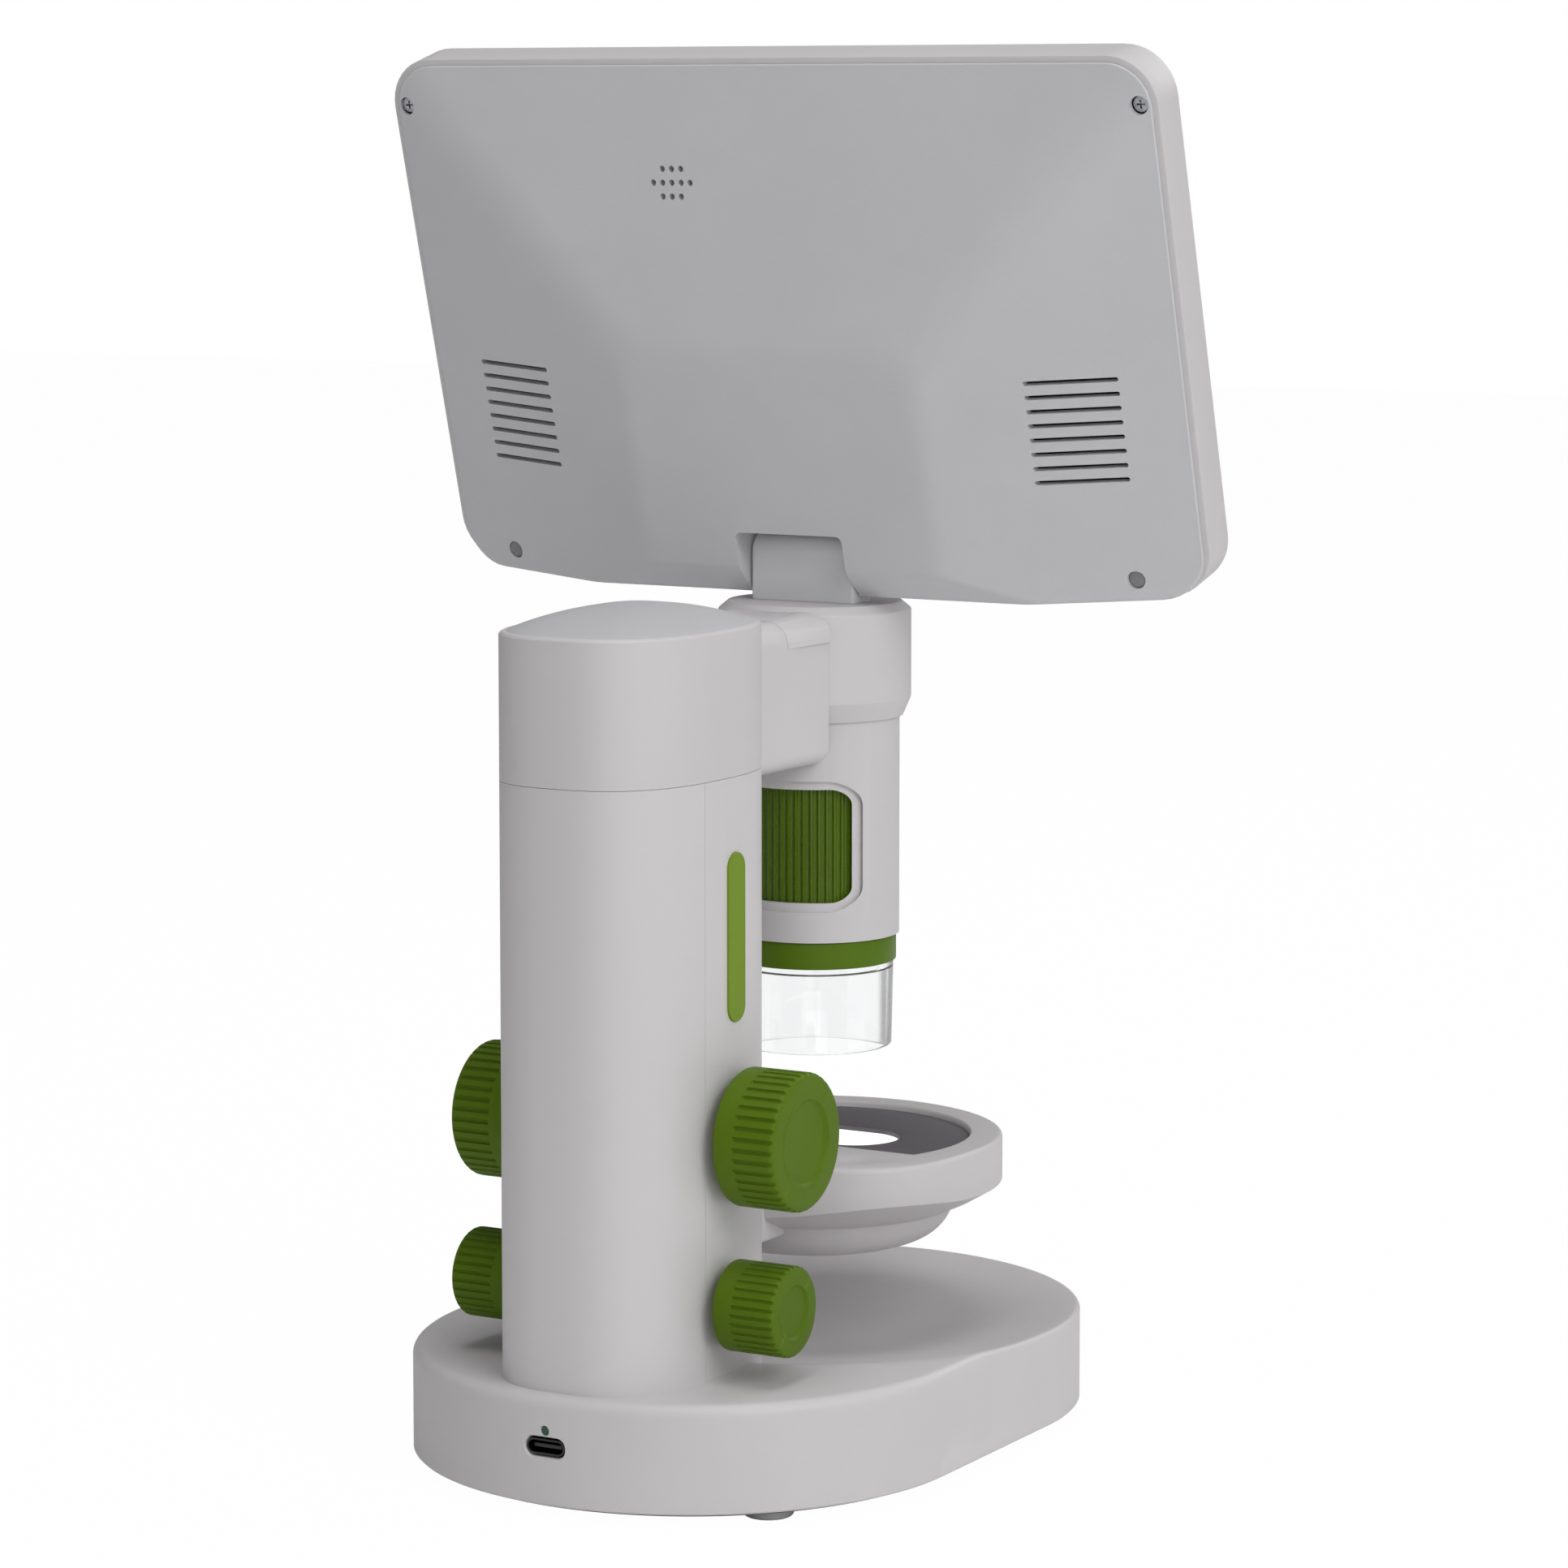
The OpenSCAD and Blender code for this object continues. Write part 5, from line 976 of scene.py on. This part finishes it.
def backNormal(p):
    q = inverse @ p
    e = 0.05
    if abs(q.z + backDeep(q.x, q.y)) > 0.05 or not 1.2 < q.y < back["top"] - 1.2 or abs(q.x) > back["half"] - 1.2:
        return None
    dx = (backDeep(q.x + e, q.y) - backDeep(q.x - e, q.y)) / (2 * e)
    dv = (backDeep(q.x, q.y + e) - backDeep(q.x, q.y - e)) / (2 * e)
    return turnBack @ Vector((-dx, -dv, -1)).normalized()


trueNormals(screenBack, backNormal)
finished(screenBack, "screen_back", "screenCase", "screen")
print("screen back made")


# Screen frame: rounded rim, glass opening, four holes for the keys
rim = {"w": 188.0, "h": 118.25, "deep": 10.88, "corner": 11.0, "round": 1.7, "wall": 2.0, "plate": 7.88,
       "seat": 9.78, "glass": (158.8, 91.8, 64.5, 2.0), "rest": 6.6, "keys": (-36.0, 11.0, 24.0, 4, 3.6)}


def rimRing(inset, z):
    return levels(roundRect(rim["w"] - 2 * inset, rim["h"] - 2 * inset, rim["corner"] - inset, 10), z,
                  y=rim["h"] / 2)


def glassRing(more, z):
    w, h, y, corner = rim["glass"]
    return levels(roundRect(w + more, h + more, corner, 10), z, y=y)


rings = []
for inset, z in ((0.35, 0.0), (0.1, 0.12), (0.0, 0.4), (0.0, 4.0)):
    rings += rimRing(inset, z)
for inset, down in quarter(8, rim["round"]):
    rings += rimRing(inset, rim["deep"] - down)
for more, z in ((0.5, rim["deep"]), (0.14, rim["deep"] - 0.14), (0.0, rim["deep"] - 0.5), (0.0, rim["seat"]),
                (-rim["rest"], rim["seat"]), (-rim["rest"], rim["plate"])):
    rings += glassRing(more, z)
rings += rimRing(rim["wall"], rim["plate"]) + rimRing(rim["wall"], 0.0)
screenRim = loft("screen_rim", rings, True, 30, screenPlace)
keyX, keyV, keyStep, keyCount, keyR = rim["keys"]
keyHole = loft("keyCut", [circleRing(r, z, 40) for r, z in ((keyR, 7.0), (keyR, 10.6), (keyR + 0.4, 11.0))])
holes = inRows(keyHole, keyCount, 1, (keyStep, 0, 0), at(keyX, keyV), "blackPlastic")
finished(cutBy(screenRim, [holes], 30), "screen_frame", body="screen")

key = {"low": 5.8, "flange": (4.4, 7.3), "r": 3.4, "top": 11.48, "dip": ((2.4, 11.48), (1.2, 11.32), (0, 11.3))}
(flangeR, flangeTop), (rimAt, slopeAt, midAt) = key["flange"], key["dip"]
keyProfile = rounded([(0, key["low"], 0), (flangeR, key["low"], 0.2), (flangeR, flangeTop, 0.2),
                      (key["r"], flangeTop, 0), (key["r"], key["top"], 0.45), (*rimAt, 1.0), (*slopeAt, 2.0),
                      (*midAt, 0)], 5)
for i, name in enumerate(("power", "menu", "shutter", "play")):
    key = lathe("key_" + name, keyProfile, at(keyX + i * keyStep, keyV), 64)
    finished(key, "button_" + name, "screenCase", name + "_key")


# Screw heads with a cross recess, set in pairs
screw = {"low": 0.05, "r": 1.9, "high": 1.45, "shank": (1.0, 6.0), "cross": (0.42, 2.1), "deep": (-0.3, 0.85)}


def screwHead(name):
    low, r, high, (shankR, end), (w, l), (start, deep) = screw.values()
    line = [(0, low, 0), (r, low, 0.35), (r, high, 0), (shankR, high, 0), (shankR, end, 0.2), (0, end, 0)]
    bars = []
    for x, y in ((w / 2, l / 2), (l / 2, w / 2)):
        corners = ((x, -y), (x, y), (-x, y), (-x, -y))
        bars.append(loft(name + "Bar", [[(px * k, py * k, z) for px, py in corners] for k, z in
                                        ((1, start), (0.7, deep))]))
    return cutBy(lathe(name, rounded(line, 4), None, 48), bars, 30)


def pairOf(obj, x, v, look):
    return inRows(obj, 2, 1, (2 * x, 0, 0), at(-x, v), look, 30)


def joined(first, *others):
    bm = bmesh.new()
    for obj in (first, *others):
        bm.from_mesh(obj.data)
    bm.to_mesh(first.data)
    bm.free()
    for obj in others:
        bpy.data.objects.remove(obj)
    first.data.set_sharp_from_angle(angle=radians(30))
    return first


screws = joined(pairOf(screwHead("screw_top"), *screwsAt["corner"], "steelPart"),
                pairOf(screwHead("screw_low"), *screwsAt["low"], "steelPart"))
finished(screws, "screen_screws", "steelPart", "screen")
plugLine = ((1.95, -0.1), (1.95, -2.9), (1.88, -3.25), (1.65, -3.45), (1.2, -3.5), (0.4, -3.52))
plug = loft("plugs", [circleRing(r, z, 48) for r, z in plugLine])
finished(pairOf(plug, *screwsAt["low"], "plugRubber"), "screw_plugs", "plugRubber", "screen")
print("screen made")


# Stage: ring with a deck recess, two finger dimples and the neck; bowl under it
stage = {"r": 41.66, "back": 38.0, "top": 61.5, "edge": 1.1, "under": ((31.8, 46), (36.2, 48)), "flare": 0.549,
         "recess": 58.3, "plateR": 34.5, "plateBack": 13.1,
         "dimple": (24.6, 24.5, 4.3, 0.5, 0.245), "neck": (9.0, 0.76, 24.5, 44.0, 56.0)}


def stageRing(inset, z):
    ring = []
    for x, y, _ in circleRing(1, 0, 240):
        power, depth = (2 / 3, stage["back"]) if y > 0 else (1, stage["r"])
        ring.append(((stage["r"] - inset) * bent(x, power), (depth - inset) * bent(y, power), z))
    return ring


def stageBody():
    outline = stageRing(0, 0)
    reach = [hypot(x, y) for x, y, _ in outline]
    rings = [[(x * r / d, y * r / d, z) for (x, y, _), d in zip(outline, reach)] for r, z in stage["under"]]
    edgeR, edgeZ = stage["under"][-1]
    for inset, up in ((0.45, -0.1), (0.12, 0.12), (0.0, 0.5), (0.0, 4.0)):
        rings.append([(x, y, edgeZ + (d - edgeR) * stage["flare"] + up)
                      for (x, y, _), d in zip(stageRing(inset, 0), reach)])
    rings += [stageRing(inset, stage["top"] - down) for inset, down in quarter(7, stage["edge"])]
    return loft("stage_ring", rings, place=headPlace)


def deckRing(more, z):
    r, y = stage["plateR"] + more, stage["plateBack"] + more
    a = asin(y / r)
    turns = [pi - a + (pi + 2 * a) * k / 120 for k in range(121)]
    return [(r * cos(t), r * sin(t), z) for t in turns]


top = stage["top"]
cutters = [loft("deckCut", [deckRing(0, stage["recess"]), deckRing(0, top - 0.5), deckRing(0.16, top - 0.2),
                            deckRing(0.75, top + 0.4)], place=headPlace)]
dx, dy, dr, deep, turn = stage["dimple"]
ball = (dr * dr + deep * deep) / (2 * deep)
for side in (-1, 1):
    profile = [(0, top - deep)]
    for k in range(1, 11):
        t = turn * k / 10
        profile.append((ball * sin(t), top - deep + ball * (1 - cos(t))))
    profile.append((0, profile[-1][1]))
    cutters.append(lathe("dimpleCut", profile, upright(headY + dy, side * dx), 72))
finished(cutBy(stageBody(), cutters), "stage_body", body="stage")
nw, n0, n1, nz0, nz1 = stage["neck"]
neckPlan = rounded([(-nw, nz0, 1.2), (nw, nz0, 1.2), (nw, nz1, 1.2), (-nw, nz1, 1.2)], 5)
neck = loft("stage_neck", [[(x, y, z) for x, z in neckPlan] for y in (n0, n1)])
finished(neck, body="stage")
carried("deck_plate", "stage_plate", "darkDeck", "stage", bevel=0.18)
carried("lit_window", "light_diffuser", "milkWindow", "stage", bevel=0.15)


# Smooth line through the given points
def smoothLine(points, steps=8):
    out = []
    for i in range(len(points) - 1):
        p0, p1, p2, p3 = (Vector(points[max(min(i + k, len(points) - 1), 0)]) for k in (-1, 0, 1, 2))
        for k in range(steps):
            t = k / steps
            out.append(tuple(0.5 * ((2 * p1) + (p2 - p0) * t + (2 * p0 - 5 * p1 + 4 * p2 - p3) * t * t
                                    + (3 * p1 - p0 - 3 * p2 + p3) * t ** 3)))
    return out + [points[-1]]


bowl = {"r": 31.0, "low": 37.3, "high": 45.85, "line": ((0.55, 0), (0.7, 0.07), (0.84, 0.26), (0.94, 0.58), (1, 1)),
        "screw": (20.0, 2.05, 196.0)}
skin = smoothLine([(bowl["r"] * a, bowl["low"] + b * (bowl["high"] - bowl["low"])) for a, b in bowl["line"]])
skin = [(r, max(h, bowl["low"])) for r, h in skin]
under = lathe("stage_bowl", [(0, bowl["low"])] + skin + [(0, bowl["high"])], headPlace, 160, 30)
reach, sinkR, first = bowl["screw"]
cutters = []
for k in range(3):
    t = radians(first + 120 * k)
    hole = [circleRing(sinkR + more, z, 40) for more, z in ((0.3, 36.5), (0.12, 37.45), (0, 37.7), (0, 40.5))]
    cutters.append(loft("bowlCut", hole, place=upright(headY + reach * sin(t), reach * cos(t))))
finished(cutBy(under, cutters, 30), "stage_housing", body="stage")


# Hinge stem between the head's cap and the screen
stem = {"half": 12.8, "knuckle": 4.0, "low": 179.75, "ends": 0.7}


def stemSection(x, inset):
    k, (_, y, axis) = stem["knuckle"] - inset, hinge["at"]
    turns = [pi * i / 24 for i in range(25)]
    return ([(x, y + k, stem["low"])] + [(x, y + k * cos(t), axis + k * sin(t)) for t in turns]
            + [(x, y - k, stem["low"])])


ends = quarter(5, stem["ends"])
rings = [stemSection(-stem["half"] + a, b) for a, b in ends]
rings += [stemSection(stem["half"] - a, b) for a, b in reversed(ends)]
# The hinge post takes the lightened pale case, painted light against its shade
finished(loft("hinge_post", rings, angle=40), "hinge_stem", "paleCaseLit")
print("stage and stem made")

low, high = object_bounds()
print("sizes", [round((h - l) * 1000, 1) for l, h in zip(low, high)])
